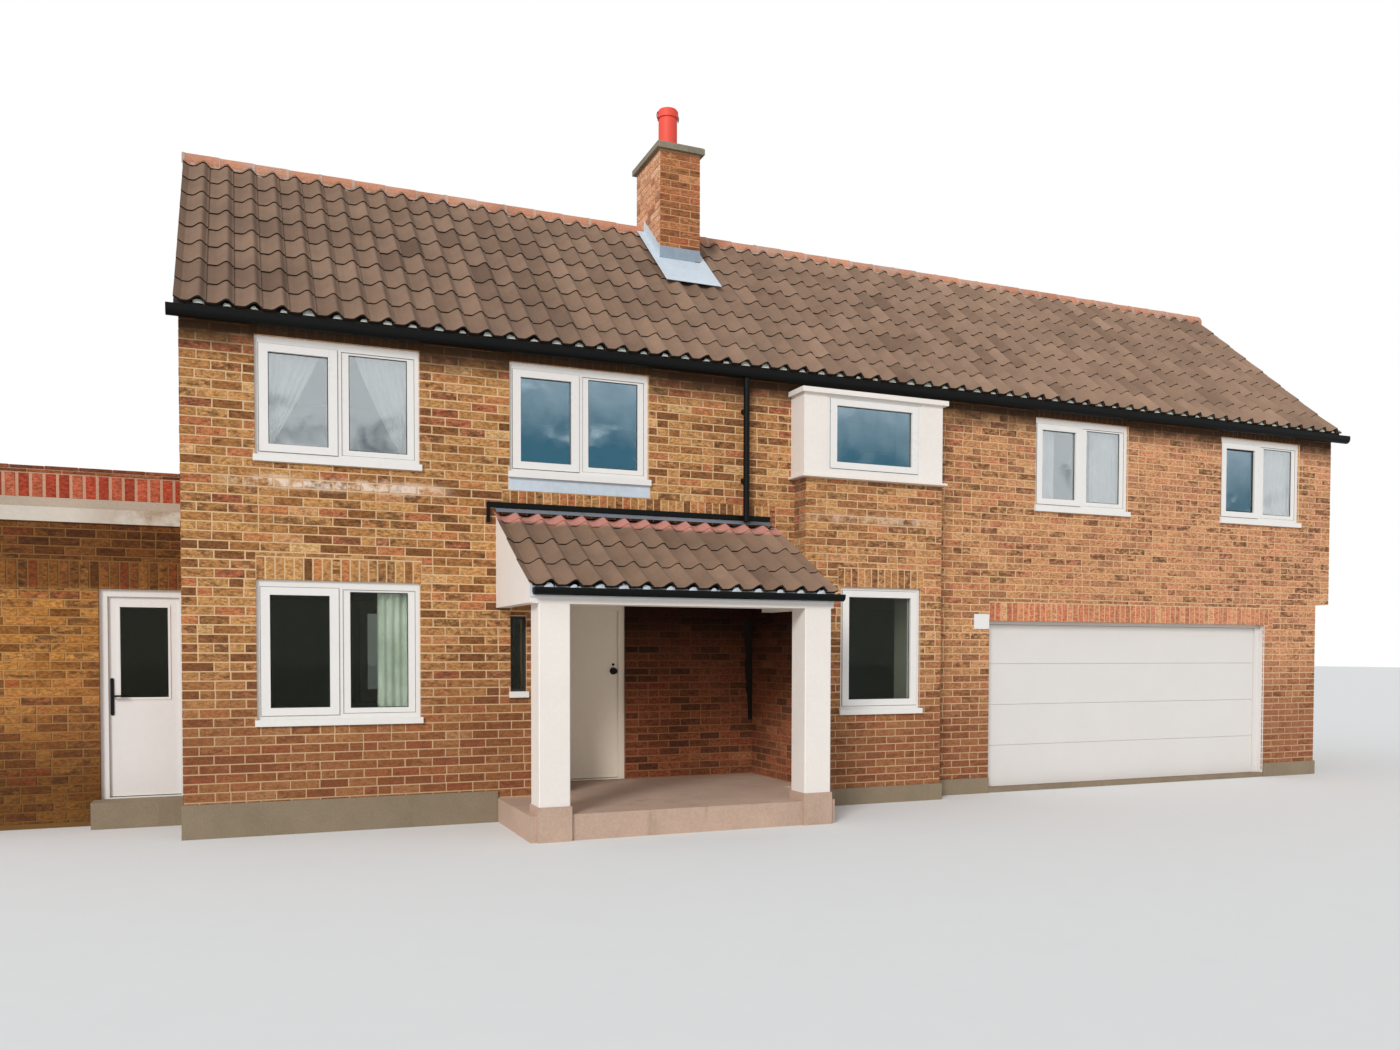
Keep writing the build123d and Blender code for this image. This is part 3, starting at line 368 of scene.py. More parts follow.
brickLook = {
    "burnt": (96, 64, 40),
    "burntEdge": 0.66,
    "burntVary": 0.27,
    "burntSoft": 0.16,
    "footRed": (126, 72, 46),
    "footTop": 1.5,
    "footDepth": 1.1,
    "salt": (226, 204, 184),
    "pink": (212, 152, 120),
    "pinkSpan": (-4.0, 6.5),
    "pinkShare": 0.62,
    "blotchShare": 0.8,
    "fineShare": 0.6,
    "toneShift": (31.0, 17.0),
    "otherTone": 7.31,
    "drawn": (1.0, 1.0, 2.2),
    "bump": 0.0016,
    "blotch": ((0.36, (0.55, 0.52, 0.47)), (0.62, (1.34, 1.31, 1.26))),
    "fine": ((0.3, (0.4, 0.4, 0.4)), (0.7, (1.4, 1.37, 1.33))),
}
# Painted shade under the gutter: a dark band at the top of the front and back walls
eavesPaintedShade = {"colour": (58, 38, 22), "band": (4.38, 4.62), "wallEnd": (4.95, 4.90), "ragged": 0.2,
             "share": 0.95}
saltPatches = [
    {"x": (-6.95, -5.15), "z": (3.24, 3.35), "share": 0.95},
    {"x": (-1.1, 0.4), "z": (3.16, 3.26), "share": 0.4},
]
saltSoft = {"x": 0.25, "z": 0.035, "edge": (0.38, 0.58)}
bandRagged = 0.04


# Dark bands by height, then painted shade under the gutter on walls that face front or back
def wallShades(k, look, bands, paintEavesShade):
    for low, high, colour, share in bands:
        mask = k.use(bandGroup, Low=low, High=high, Ragged=bandRagged)["Mask"]
        look = k.blend(k.times(mask, share), look, srgb(*colour), "MULTIPLY")
    if paintEavesShade:
        facing = k.add("SeparateXYZ", {0: k.add("NewGeometry").outputs["Normal"]}).outputs[1]
        (low, high), (start, end) = eavesPaintedShade["band"], eavesPaintedShade["wallEnd"]
        mask = k.use(bandGroup, Low=low, High=high, Ragged=eavesPaintedShade["ragged"])["Mask"]
        below = k.use(bandGroup, Low=start, High=end, Ragged=0.0)["Mask"]
        mask = k.times(mask, k.times(below, k.maths("ABSOLUTE", facing)))
        look = k.blend(k.times(mask, eavesPaintedShade["share"]), look, srgb(*eavesPaintedShade["colour"]))
    return look


def saltMask(k, place):
    ragged = k.noise(place, scale=7.0, detail=5.0, rough=0.7)
    total = None
    for patch in saltPatches:
        mask = patch["share"]
        for number, axis in ((0, "x"), (2, "z")):
            (low, high), soft, along = patch[axis], saltSoft[axis], k.axis(number)
            rise = k.span(along, low - soft, low + soft)
            mask = k.times(k.times(rise, k.span(along, high + soft, high - soft)), mask)
        total = mask if total is None else k.maths("MAXIMUM", total, mask)
    return k.times(total, k.span(ragged, *saltSoft["edge"]))


def brickMaterial(name, tones, burntShare=0.85, footShare=0.68, salted=False, bands=(), paintEavesShade=False):
    made, k, sockets = newMaterial(name, roughness=0.9, specular=0.25)
    b, place = brickLook, k.place()
    tone = k.add("Attribute", attribute_name="tone").outputs["Fac"]
    shiftX, shiftZ = (k.times(tone, share) for share in b["toneShift"])
    shift = k.add("CombineXYZ", {0: shiftX, 2: shiftZ}).outputs[0]
    drawn = k.vectors("MULTIPLY", k.vectors("ADD", place, shift), b["drawn"])
    look = k.ramp(tone, shades(brickTones[tones]))
    look = k.blend(k.times(k.span(k.axis(0), *b["pinkSpan"]), b["pinkShare"]), look, srgb(*b["pink"]))
    patches = k.noise(drawn, scale=11.0, detail=6.0, rough=0.7)
    other = k.maths("FRACT", k.times(tone, b["otherTone"]))
    edge = k.minus(b["burntEdge"], k.times(other, b["burntVary"]))
    burnt = k.fade(patches, edge, k.plus(edge, b["burntSoft"]))
    look = k.blend(k.times(burnt, burntShare), look, srgb(*b["burnt"]))
    blotch = k.noise(drawn, scale=26.0, detail=3.0, rough=0.6)
    look = k.speckle(look, b["blotchShare"], blotch, *b["blotch"])
    foot = k.use(footGroup, Top=b["footTop"], Depth=b["footDepth"])["Mask"]
    look = k.blend(k.times(foot, footShare), look, srgb(*b["footRed"]))
    fine = k.noise(place, scale=70.0, detail=6.0, rough=0.7)
    look = k.speckle(look, b["fineShare"], fine, *b["fine"])
    if salted:
        look = k.blend(saltMask(k, place), look, srgb(*b["salt"]))
    setLook(k, sockets, wallShades(k, look, bands, paintEavesShade), fine, b["bump"])
    return made


mortarLook = {
    "grain": 140.0,
    "coarse": 0.4,
    "dark": 0.62,
    "stops": (0.3, 0.68),
    "foot": (140, 104, 80),
    "footTop": 1.3,
    "footDepth": 0.9,
    "bump": 0.001,
}


def mortarMaterial(name, colour, footShare=0.35, paintEavesShade=False, bands=()):
    made, k, sockets = newMaterial(name, roughness=0.95, specular=0.2)
    m, colour = mortarLook, srgb(*colour)
    grains = k.use(grainGroup, Scale=m["grain"], Coarse=m["coarse"])
    look = k.ramp(grains["Mask"], list(zip(m["stops"], (scaled(colour, m["dark"]), colour))))
    foot = k.use(footGroup, Top=m["footTop"], Depth=m["footDepth"])["Mask"]
    look = k.blend(k.times(foot, footShare), look, srgb(*m["foot"]))
    setLook(k, sockets, wallShades(k, look, bands, paintEavesShade), grains["Height"], m["bump"])
    return made


tileLook = {
    "dark": (104, 80, 63),
    "base": (138, 111, 91),
    "light": (160, 131, 109),
    "tail": 0.12,
    "leftDarkerSpan": (3.0, -6.5),
    "leftDarker": (0.78, 0.76, 0.74, 1),
    "lichen": (206, 198, 186),
    "lichenShare": 0.75,
    "lichenScale": 9.0,
    "lichenCover": 0.12,
    "smearRagged": 0.10,
    "bump": 0.0012,
    "cloudShare": 0.8,
    "cloud": ((0.32, (0.74, 0.73, 0.72)), (0.68, (1.12, 1.1, 1.08))),
    "fineShare": 0.5,
    "fine": ((0.3, (0.6, 0.6, 0.6)), (0.7, (1.3, 1.3, 1.3))),
    "crust": [(0.35, (150, 84, 72)), (0.65, (214, 158, 142))],
}


# Painted shade: the tails of the tiles carry a tone below zero and come out nearly black
def tileMaterial(name, mortared=None):
    made, k, sockets = newMaterial(name, roughness=0.78, specular=0.3)
    t, place = tileLook, k.place()
    dark, base, light = (srgb(*t[key]) for key in ("dark", "base", "light"))
    tone = k.add("Attribute", attribute_name="tone").outputs["Fac"]
    look = k.ramp(tone, [(0.0, scaled(dark, t["tail"])), (0.03, dark), (0.45, base), (1.0, light)])
    cloud = k.noise(place, scale=2.2, detail=6.0, rough=0.62)
    look = k.speckle(look, t["cloudShare"], cloud, *t["cloud"])
    # Darker towards the left end of the roof
    look = k.blend(k.span(k.axis(0), *t["leftDarkerSpan"]), look, t["leftDarker"], "MULTIPLY")
    fine = k.noise(place, scale=160.0, detail=5.0, rough=0.7)
    look = k.speckle(look, t["fineShare"], fine, *t["fine"])
    spots = k.use(spotGroup, Scale=t["lichenScale"], Cover=t["lichenCover"])["Mask"]
    look = k.blend(k.times(spots, t["lichenShare"]), look, srgb(*t["lichen"]))
    if mortared:
        smear = k.use(bandGroup, Low=mortared[0], High=mortared[1], Ragged=t["smearRagged"])["Mask"]
        look = k.blend(smear, look, k.ramp(fine, shades(t["crust"])))
    setLook(k, sockets, look, fine, t["bump"])
    return made


paintedCloudReflection = {
    "drawn": (1.0, 1.0, 1.7),
    "start": 0.5,
    "soft": 0.22,
    "low": 3.85,
    "high": 4.65,
    "ragged": 0.6,
    "highShare": 0.8,
    "coatIor": 3.0,
    "coatRoughness": 0.02,
}


# Painted reflection: in the upper panes a coat reflects more in cloud-shaped patches and by the height of the
# pane, and the specular tint colours every reflection
def glassMaterial(name, tint, ior, paintedReflectionTint=(1, 1, 1, 1), cloudShare=0.0, paintedCloudStart=0.0):
    made, k, sockets = newMaterial(name, roughness=0.01)
    sockets["Transmission Weight"].default_value = 1.0
    sockets["IOR"].default_value = ior
    sockets["Specular Tint"].default_value = paintedReflectionTint
    film = k.use(grainGroup, Scale=3.0, Coarse=0.8)
    k.put(k.ramp(film["Mask"], [(0.3, scaled(tint, 0.93)), (0.7, tint)]), sockets["Base Color"])
    if cloudShare:
        c = paintedCloudReflection
        cloud = k.noise(k.vectors("MULTIPLY", k.place(), c["drawn"]), scale=1.5, detail=4.0, bend=0.6)
        height = k.use(bandGroup, Low=c["low"], High=c["high"], Ragged=c["ragged"])["Mask"]
        start = c["start"] + paintedCloudStart
        both = k.plus(k.span(cloud, start, start + c["soft"]), k.times(height, c["highShare"]), True)
        k.put(k.times(both, cloudShare), sockets["Coat Weight"])
        sockets["Coat IOR"].default_value = c["coatIor"]
        sockets["Coat Roughness"].default_value = c["coatRoughness"]
    return made


def clothMaterial(name, colour, fold):
    made, k, sockets = newMaterial(name, roughness=0.9, specular=0.15)
    place = k.place()
    weave = k.noise(place, scale=260.0, detail=3.0)
    cloud = k.noise(place, scale=4.0, detail=3.0)
    both = k.plus(k.times(weave, 0.5), k.times(cloud, 0.5))
    setLook(k, sockets, k.ramp(both, shades([(0.35, fold), (0.6, colour)])), weave, 0.0005)
    return made


# Dark bands on walls: low, high, colour, share
# Painted shade in the porch recess, darker upwards from 0.95 m to the porch ceiling
recessPaintedShade = (0.95, 2.1, (70, 54, 42), 0.96)
# The wing bands only darken by height: below 1.25 m towards the foot, above about 2.3 m, and again above about
# 2.6 m
wingFoot = (1.25, 0.45, (172, 166, 142), 0.95)
wingDark = (2.28, 2.36, (172, 160, 150), 0.9)
wingDarker = (2.58, 2.64, (214, 206, 200), 0.8)
materials = {name: plainFinish(name, **look) for name, look in plainFinishes.items()}
for made in (
    mortarMaterial("mortarTan", (230, 192, 146), paintEavesShade=True),
    # The recess mortar and bricks are darker copies of the tan ones: painted shade in the porch recess
    mortarMaterial("mortarRecessShaded", (172, 122, 84), 0.0, bands=[recessPaintedShade]),
    mortarMaterial("mortarWing", (186, 140, 86), 0.3, bands=[wingDark, wingFoot]),
    mortarMaterial("mortarStack", (208, 158, 112), 0.0),
    mortarMaterial("mortarPale", (204, 158, 128), 0.0),
    brickMaterial("brickTan", "tan", salted=True, paintEavesShade=True),
    brickMaterial("brickRecessShaded", "recess", burntShare=0.4, footShare=0.0, bands=[recessPaintedShade]),
    brickMaterial("brickWing", "wing", footShare=0.3, bands=[wingDark, wingDarker, wingFoot]),
    brickMaterial("brickRed", "red", burntShare=0.15, footShare=0.0),
    brickMaterial("brickStack", "stack", burntShare=0.6, footShare=0.0),
    brickMaterial("brickStackLitSide", "stackLitSide", burntShare=0.3, footShare=0.0),
    brickMaterial("brickLintel", "lintel", burntShare=0.3, footShare=0.0),
    brickMaterial("creasingTile", "recess", burntShare=0.5, footShare=0.0),
    clothMaterial("netCurtain", (238, 240, 240), (214, 218, 220)),
    clothMaterial("lowCurtain", (226, 234, 224), (176, 188, 174)),
    tileMaterial("roofTile"),
    tileMaterial("porchTile", mortared=(2.985, 3.02)),
    # The specular tints are painted reflection colours, sky blue on the upper panes
    glassMaterial("roomGlass", (0.84, 0.88, 0.82, 1.0), 1.25, (0.85, 0.9, 0.75, 1.0)),
    glassMaterial("skyGlass", (0.78, 0.86, 0.88, 1.0), 2.05, (0.20, 0.62, 0.92, 1.0), 0.85, 0.05),
    glassMaterial("netGlass", (0.96, 0.98, 0.98, 1.0), 1.9, (0.70, 0.90, 1.0, 1.0), 0.85, -0.22),
    glassMaterial("backGlass", (0.12, 0.13, 0.12, 1.0), 1.4),
):
    materials[made.name] = made
print("materials made:", len(materials))

finishes = {
    "mortarTan": ["front_wall_ground", "front_wall_upper", "back_wall", "gable_walls", "bay_front_wall",
                  "bay_jambs", "lintels"],
    "mortarStack": ["chimney_stack"],
    "mortarRecessShaded": ["recess_back_wall", "recess_side_walls"],
    "mortarWing": ["wing_long_walls", "wing_side_wall", "wing_door_head"],
    "mortarPale": ["wing_coping"],
    "roofUnderlay": ["roof_front", "roof_back", "porch_roof"],
    "roofFelt": ["wing_slabs"],
    "ridgeClay": ["ridge_tiles"],
    "blackPlastic": ["gutters", "downpipes", "porch_cover_strip", "fascia_boards"],
    "whitePlastic": ["window_frames_front", "window_frames_back", "side_door_frame", "side_door",
                     "wall_plaque"],
    "roomGlass": ["window_glass_front", "side_door_glass"],
    "backGlass": ["window_glass_back"],
    "garagePaint": ["garage_door", "garage_door_frame"],
    "creamPaint": ["bay_box", "porch_beams", "porch_columns", "porch_cheeks", "porch_ceiling"],
    "doorCream": ["front_door", "front_door_frame"],
    "blackMetal": ["front_door_knob", "side_door_lever", "side_door_plate"],
    "leadSheet": ["wall_flashings", "chimney_flashing"],
    "renderedPlinth": ["plinth", "side_door_step"],
    "cementBand": ["wing_parapet_band"],
    "porchConcrete": ["porch_floor"],
    "roomFloor": ["ground_floor", "upper_floor"],
    "chimneyConcrete": ["chimney_cap"],
    "potClay": ["chimney_pot"],
    "wingBoard": ["wing_fascia"],
    "eavesBoard": ["porch_eaves_board"],
    "roofTile": ["main_tiles_front", "main_tiles_back", "porch_tiles"],
}
for finish, names in finishes.items():
    for name in names:
        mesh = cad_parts[name].data
        mesh.materials.clear()
        mesh.materials.append(materials[finish])


def nodeCorners(name):
    return np.array([v.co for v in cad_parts[name].data.vertices], float)


# The boxes of a node's separate solids, from left to right
def looseBoxes(name):
    points = np.round(nodeCorners(name), 5)
    same, which = np.unique(points, axis=0, return_inverse=True)
    which = which.ravel()
    owner = np.arange(len(same))

    def root(i):
        while owner[i] != i:
            owner[i] = owner[owner[i]]
            i = owner[i]
        return i

    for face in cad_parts[name].data.polygons:
        corners = [root(which[v]) for v in face.vertices]
        for c in corners[1:]:
            owner[root(c)] = root(corners[0])
    groups = {}
    for i in range(len(same)):
        groups.setdefault(root(i), []).append(same[i])
    boxes = [(Vector(np.min(g, axis=0)), Vector(np.max(g, axis=0))) for g in groups.values()]
    return sorted(boxes, key=lambda b: (round(b[0].x, 2), b[0].z))


houseLow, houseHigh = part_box("front_wall_upper")
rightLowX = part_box("front_wall_ground")[1].x
frontY, backY = houseLow.y, -houseLow.y
leftX, rightX = houseLow.x, houseHigh.x
storeyZ = houseLow.z
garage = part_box("garage_door_frame")
bayLow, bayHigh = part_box("bay_front_wall")

# Faces of the CAD nodes that have another finish than the rest of the node
faceLook = {
    "upperPanes": 3.0,
    "netPanes": [(-6.9, -6.1), (-6.05, -5.2), (2.9, 3.8), (2.1, 2.9), (6.05, 6.9)],
    "apronTop": 3.19,
    "upright": 0.95,
    "hallX": (-4.42, -4.24),
    "hallZ": (1.32, 2.3),
    "inside": (frontY + 0.26, frontY + 0.30),
    "backInside": backY - 0.26,
    "gableInside": (leftX + 0.1, rightLowX - 0.1),
    "bayInside": (bayLow.x + 0.1, bayHigh.x - 0.1),
    "bayInsideY": bayLow.y + 0.1,
    "doorstep": frontY + 0.3,
    "near": 0.03,
}


def paintFaces(name, finish, isThere):
    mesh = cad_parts[name].data
    mesh.materials.append(materials[finish])
    for face in mesh.polygons:
        if isThere(face.center, face.normal):
            face.material_index = len(mesh.materials) - 1


def within(value, ends):
    return ends[0] < value < ends[1]


steep = 0.5
f = faceLook
paintFaces("window_glass_front", "skyGlass", lambda c, n: c.z > f["upperPanes"])
paintFaces("window_glass_front", "netGlass",
           lambda c, n: c.z > f["upperPanes"] and any(within(c.x, ends) for ends in f["netPanes"]))
paintFaces("wall_flashings", "apronLead", lambda c, n: c.z < f["apronTop"])
# Painted shade: the front-facing upright of the chimney flashing gets a darker copy of the lead
paintFaces("chimney_flashing", "leadUprightShaded", lambda c, n: n.y < -f["upright"])
# Painted shade: the hall window frame in the porch recess takes the dark gasket finish
paintFaces("window_frames_front", "gasketRubberAndPaintedShade",
           lambda c, n: within(c.x, f["hallX"]) and within(c.z, f["hallZ"]))
for name in ("front_wall_ground", "front_wall_upper", "bay_jambs", "lintels"):
    paintFaces(name, "roomPlaster", lambda c, n: n.y > steep and within(c.y, f["inside"]))
paintFaces("back_wall", "roomPlaster", lambda c, n: n.y < -steep and c.y < f["backInside"])
paintFaces("gable_walls", "roomPlaster", lambda c, n: abs(n.x) > steep and within(c.x, f["gableInside"]))
paintFaces("bay_jambs", "roomPlaster", lambda c, n: abs(n.x) > steep and within(c.x, f["bayInside"]))
paintFaces("bay_front_wall", "roomPlaster",
           lambda c, n: n.y > steep or (abs(n.x) > steep and c.y > f["bayInsideY"]))
# Painted shade: the side of the bay that faces the recess takes the darker recess mortar
paintFaces("bay_jambs", "mortarRecessShaded", lambda c, n: n.x < -steep and abs(c.x - bayLow.x) < f["near"])
paintFaces("front_wall_ground", "garagePaint",
           lambda c, n: n.x < -steep and abs(c.x - garage[1].x) < f["near"])
paintFaces("ground_floor", "renderedPlinth", lambda c, n: n.y < -steep and c.y < f["doorstep"])
print("CAD nodes finished")

# Bricks as real blocks that stand out a little from the mortar face
brickwork = {
    "seed": 41,
    "course": 0.0857,
    "length": 0.262,
    "joint": 0.011,
    "proud": 0.004,
    "proudVary": 0.001,
    "bevel": 0.0035,
    "shortest": 0.05,
    "thinnest": 0.02,
    "touch": 0.004,
    "zero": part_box("front_wall_ground")[0].z + 1.018,
    "headerShare": 0.10,
    "startVary": 0.01,
    "slant": 0.0012,
    "wrap": 0.0015,
    "sunk": 0.001,
    "reveal": 0.027,
}
random.seed(brickwork["seed"])


def vary(amount):
    return random.uniform(-amount, amount)


def rectangle(u0, u1, z0, z1):
    return [(u0, z0), (u1, z0), (u1, z1), (u0, z1)]


# Faces of a body made of rings of n points, closed at both ends
def ringFaces(rings, n):
    ends = [tuple(range((rings - 1) * n, rings * n)), tuple(reversed(range(n)))]
    return ends + [(r * n + i, r * n + (i + 1) % n, (r + 1) * n + (i + 1) % n, (r + 1) * n + i)
                   for r in range(rings - 1) for i in range(n)]


# A face of a wall from start to end, with its outside on the right
def panel(start, end, bottom, top, holes=(), shift=0, roof=None, corners=(True, True)):
    begin, finish = Vector((*start, 0)), Vector((*end, 0))
    along = (finish - begin).normalized()
    return {"origin": begin, "along": along, "out": Vector((along.y, -along.x, 0)),
            "width": (finish - begin).length, "bottom": bottom, "top": top, "holes": list(holes),
            "shift": shift, "roof": roof, "corners": corners}


def clipUnder(points, roof):
    result = []
    for p, q in zip(points, points[1:] + points[:1]):
        pIn, qIn = roof(*p), roof(*q)
        if pIn >= 0:
            result.append(p)
        if (pIn >= 0) != (qIn >= 0):
            t = pIn / (pIn - qIn)
            result.append((p[0] + t * (q[0] - p[0]), p[1] + t * (q[1] - p[1])))
    return result


class MeshMaker:
    def __init__(self):
        self.points, self.faces, self.tones = [], [], []

    def add(self, points, faces, tone=0.5):
        self.start = len(self.points)
        self.points += points
        self.addFaces(faces, tone)

    # More faces on the points that were added last
    def addFaces(self, faces, tone):
        self.faces += [tuple(self.start + i for i in f) for f in faces]
        self.tones += [tone] * len(faces)

    def build(self, name, material, slot=None, smooth=False):
        mesh = bpy.data.meshes.new(name)
        mesh.from_pydata(self.points, [], self.faces)
        shade = mesh.attributes.new("tone", "FLOAT", "FACE")
        shade.data.foreach_set("value", self.tones)
        mesh.materials.append(materials[material])
        if smooth:
            mesh.polygons.foreach_set("use_smooth", [True] * len(mesh.polygons))
        made = bpy.data.objects.new(name, mesh)
        scene.collection.objects.link(made)
        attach(made, "house")
        print(name, len(self.faces), "faces")
        return made


def addBlock(maker, wall, outline, proud=None, deep=brickwork["sunk"]):
    b = brickwork
    proud = (b["proud"] if proud is None else proud) + vary(b["proudVary"])
    tone = random.random()
    tilt = vary(b["slant"])
    middleU = sum(p[0] for p in outline) / len(outline)
    middleZ = sum(p[1] for p in outline) / len(outline)
    back, front = [], []
    for u, z in outline:
        spot = wall["origin"] + wall["along"] * u + Vector((0, 0, z))
        back.append(spot - wall["out"] * deep)
        du, dz = u - middleU, z - middleZ
        inner = wall["origin"] + wall["along"] * (u - math.copysign(min(b["bevel"], abs(du)), du))
        inner += Vector((0, 0, z - math.copysign(min(b["bevel"], abs(dz)), dz)))
        front.append(inner + wall["out"] * (proud + math.copysign(tilt, du)))
    maker.add(back + front, ringFaces(2, len(outline)), tone)


# One row of bricks between two openings or corners
def layStretch(maker, wall, cuts, start, end, low, high, proud):
    b = brickwork
    half, width = b["joint"] / 2, wall["width"]
    overLeft, overRight = (b["proud"] if corner else 0 for corner in wall["corners"])
    bottom = low + half if low > wall["bottom"] else low
    spots = [start] + [c for c in cuts if start + b["shortest"] < c < end - b["shortest"]] + [end]
    for a, c in zip(spots, spots[1:]):
        left = a + half if a > start else a - (b["wrap"] if a > 0 else overLeft)
        right = c - half if c < end else c + (b["wrap"] if c < width else overRight)
        atEdge = (a == start and a > 0) or (c == end and c < width)
        outline = rectangle(left, right, bottom, high - half)
        if wall["roof"]:
            outline = clipUnder(outline, wall["roof"])
        if len(outline) > 2:
            addBlock(maker, wall, outline, proud, deep=b["reveal"] if atEdge else b["sunk"])


def layCourses(maker, wall, proud=None):
    b, thin = brickwork, brickwork["thinnest"]
    first = math.floor((wall["bottom"] - b["zero"]) / b["course"])
    last = math.ceil((wall["top"] - b["zero"]) / b["course"])
    for k in range(first, last):
        z0 = max(b["zero"] + k * b["course"], wall["bottom"])
        z1 = min(b["zero"] + (k + 1) * b["course"], wall["top"])
        if z1 - z0 < thin:
            continue
        cuts = []
        u = -((k + wall["shift"]) % 2) * b["length"] / 2 + vary(b["startVary"])
        while u < wall["width"]:
            cuts.append(u)
            if random.random() < b["headerShare"]:
                cuts.append(u + b["length"] / 2)
            u += b["length"]
        near = [h for h in wall["holes"] if h[2] < z1 - b["touch"] and h[3] > z0 + b["touch"]]
        rows = [(z0, z1, 0.0, wall["width"], near)]
        for h in near:
            beside = [x for x in near if x is not h and x[0] < h[1] and x[1] > h[0]]
            if h[3] < z1 - thin:
                rows.append((h[3], z1, h[0], h[1], [x for x in beside if x[3] > z1 - thin]))
            if h[2] > z0 + thin:
                rows.append((z0, h[2], h[0], h[1], [x for x in beside if x[2] < z0 + thin]))
        for low, high, left, right, blocks in rows:
            edges = [left]
            for h in sorted(blocks):
                edges += [max(left, h[0]), min(right, h[1])]
            edges.append(right)
            for start, end in zip(edges[::2], edges[1::2]):
                if end - start >= thin:
                    layStretch(maker, wall, cuts, start, end, low, high, proud)


def layWall(maker, start, end, bottom, top, holes=(), proud=None, **more):
    layCourses(maker, panel(start, end, bottom, top, holes, **more), proud)


def laySoldiers(maker, wall, u0, u1, z0, z1, deep=brickwork["reveal"]):
    count = round((u1 - u0) / brickwork["course"])
    step = (u1 - u0) / count
    half = brickwork["joint"] / 2
    for i in range(count):
        left = u0 + i * step
        outline = rectangle(left + half, left + step - half, z0 - brickwork["wrap"], z1 - half)
        addBlock(maker, wall, outline, deep=deep)


nearly = 0.001


# Lowest and highest points on the outside of a roof, and its slope
def roofLine(name):
    points = nodeCorners(name)
    low = max((p for p in points if p[1] < points[:, 1].min() + nearly), key=lambda p: p[2])
    top = max(points, key=lambda p: p[2])
    return low, top, (top[2] - low[2]) / (top[1] - low[1])


walls = {
    "foot": 0.1,
    "recessFoot": 0.24,
    "recessTop": 2.28,
    "wingFoot": 0.05,
    "horn": 0.018,
    "sillHeight": 0.06,
    "frontDepth": 0.05,
    "bayDepth": 0.2,
    "bayTop": 3.0,
    "headSpread": 0.03,
    "headHeight": 0.14,
    "bayHeadSpread": 0.04,
    "bayHeadHeight": 0.215,
    "wingHead": (2.33, 2.60),
    "topShift": 0.1,
    "roofDepth": 0.185,
    "stackBelow": 0.7,
    "stackProud": 0.0035,
}
windows = looseBoxes("window_frames_front")
bayBox, recessBack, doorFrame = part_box("bay_box"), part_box("recess_back_wall"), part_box("front_door_frame")
eaves, ridge, slope = roofLine("roof_front")
wallTop = eaves[2] + slope * walls["topShift"] - walls["roofDepth"]
print("slope", round(slope, 4), "eaves", eaves.round(3), "ridge", ridge.round(3))


# A window's sill is a little wider than its frame
def holesOn(box, startX):
    left, right = box[0].x - startX, box[1].x - startX
    horn, sillTop = walls["horn"], box[0].z + walls["sillHeight"]
    return [(left, right, box[0].z, sillTop), (left + horn, right - horn, sillTop, box[1].z)]


def frontHole(x0, x1, z0, z1):
    return (x0 - leftX, x1 - leftX, z0, z1)


soldierZones = {
    "lowWindow": {"x": (-6.80, -5.29), "z": (2.388, 2.60), "deep": brickwork["reveal"]},
    "overPorch": {"x": (-4.50, -1.42), "z": (3.10, 3.349), "deep": brickwork["sunk"]},
    "garage": {"x": (garage[0].x, garage[1].x + 0.156), "z": (garage[1].z, garage[1].z + 0.23), "deep": 0.09},
}
inFront = [w for w in windows if w[0].y > frontY - walls["frontDepth"]]
upperWindows = [w for w in inFront if w[0].z > storeyZ]
lowerWindows = [w for w in inFront if w[0].z < storeyZ]
for box in upperWindows:
    spread = (box[0].x - walls["headSpread"], box[1].x + walls["headSpread"])
    height = (box[1].z, box[1].z + walls["headHeight"])
    soldierZones["head%.1f" % box[0].x] = {"x": spread, "z": height, "deep": brickwork["reveal"]}
recessLeft, recessRight, recessY = recessBack[0].x, recessBack[1].x, recessBack[0].y
overPorch = upperWindows[1]
frontHoles = [hole for w in inFront for hole in holesOn(w, leftX)] + [
    frontHole(recessLeft, recessRight, 0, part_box("porch_ceiling")[0].z),
    frontHole(bayLow.x, bayHigh.x, 0, bayBox[1].z),
    frontHole(garage[0].x, garage[1].x, 0, garage[1].z),
    frontHole(overPorch[0].x, overPorch[1].x, soldierZones["overPorch"]["z"][1], overPorch[0].z),
]
frontHoles += [frontHole(*zone["x"], *zone["z"]) for zone in soldierZones.values()]
frontHoles.append(frontHole(rightLowX, rightX, 0, storeyZ))
front = panel((leftX, frontY), (rightX, frontY), walls["foot"], wallTop, frontHoles)
frontMaker, soldierMaker, lintelMaker = MeshMaker(), MeshMaker(), MeshMaker()
layCourses(frontMaker, front)
frontMaker.build("frontBricks", "brickTan", slot="brick_tan")
for key, zone in soldierZones.items():
    maker = lintelMaker if key == "garage" else soldierMaker
    laySoldiers(maker, front, *frontHole(*zone["x"], *zone["z"]), deep=zone["deep"])
soldierMaker.build("soldierBricks", "brickTan", slot="brick_tan")
lintelMaker.build("garageSoldiers", "brickLintel", slot="brick_tan")

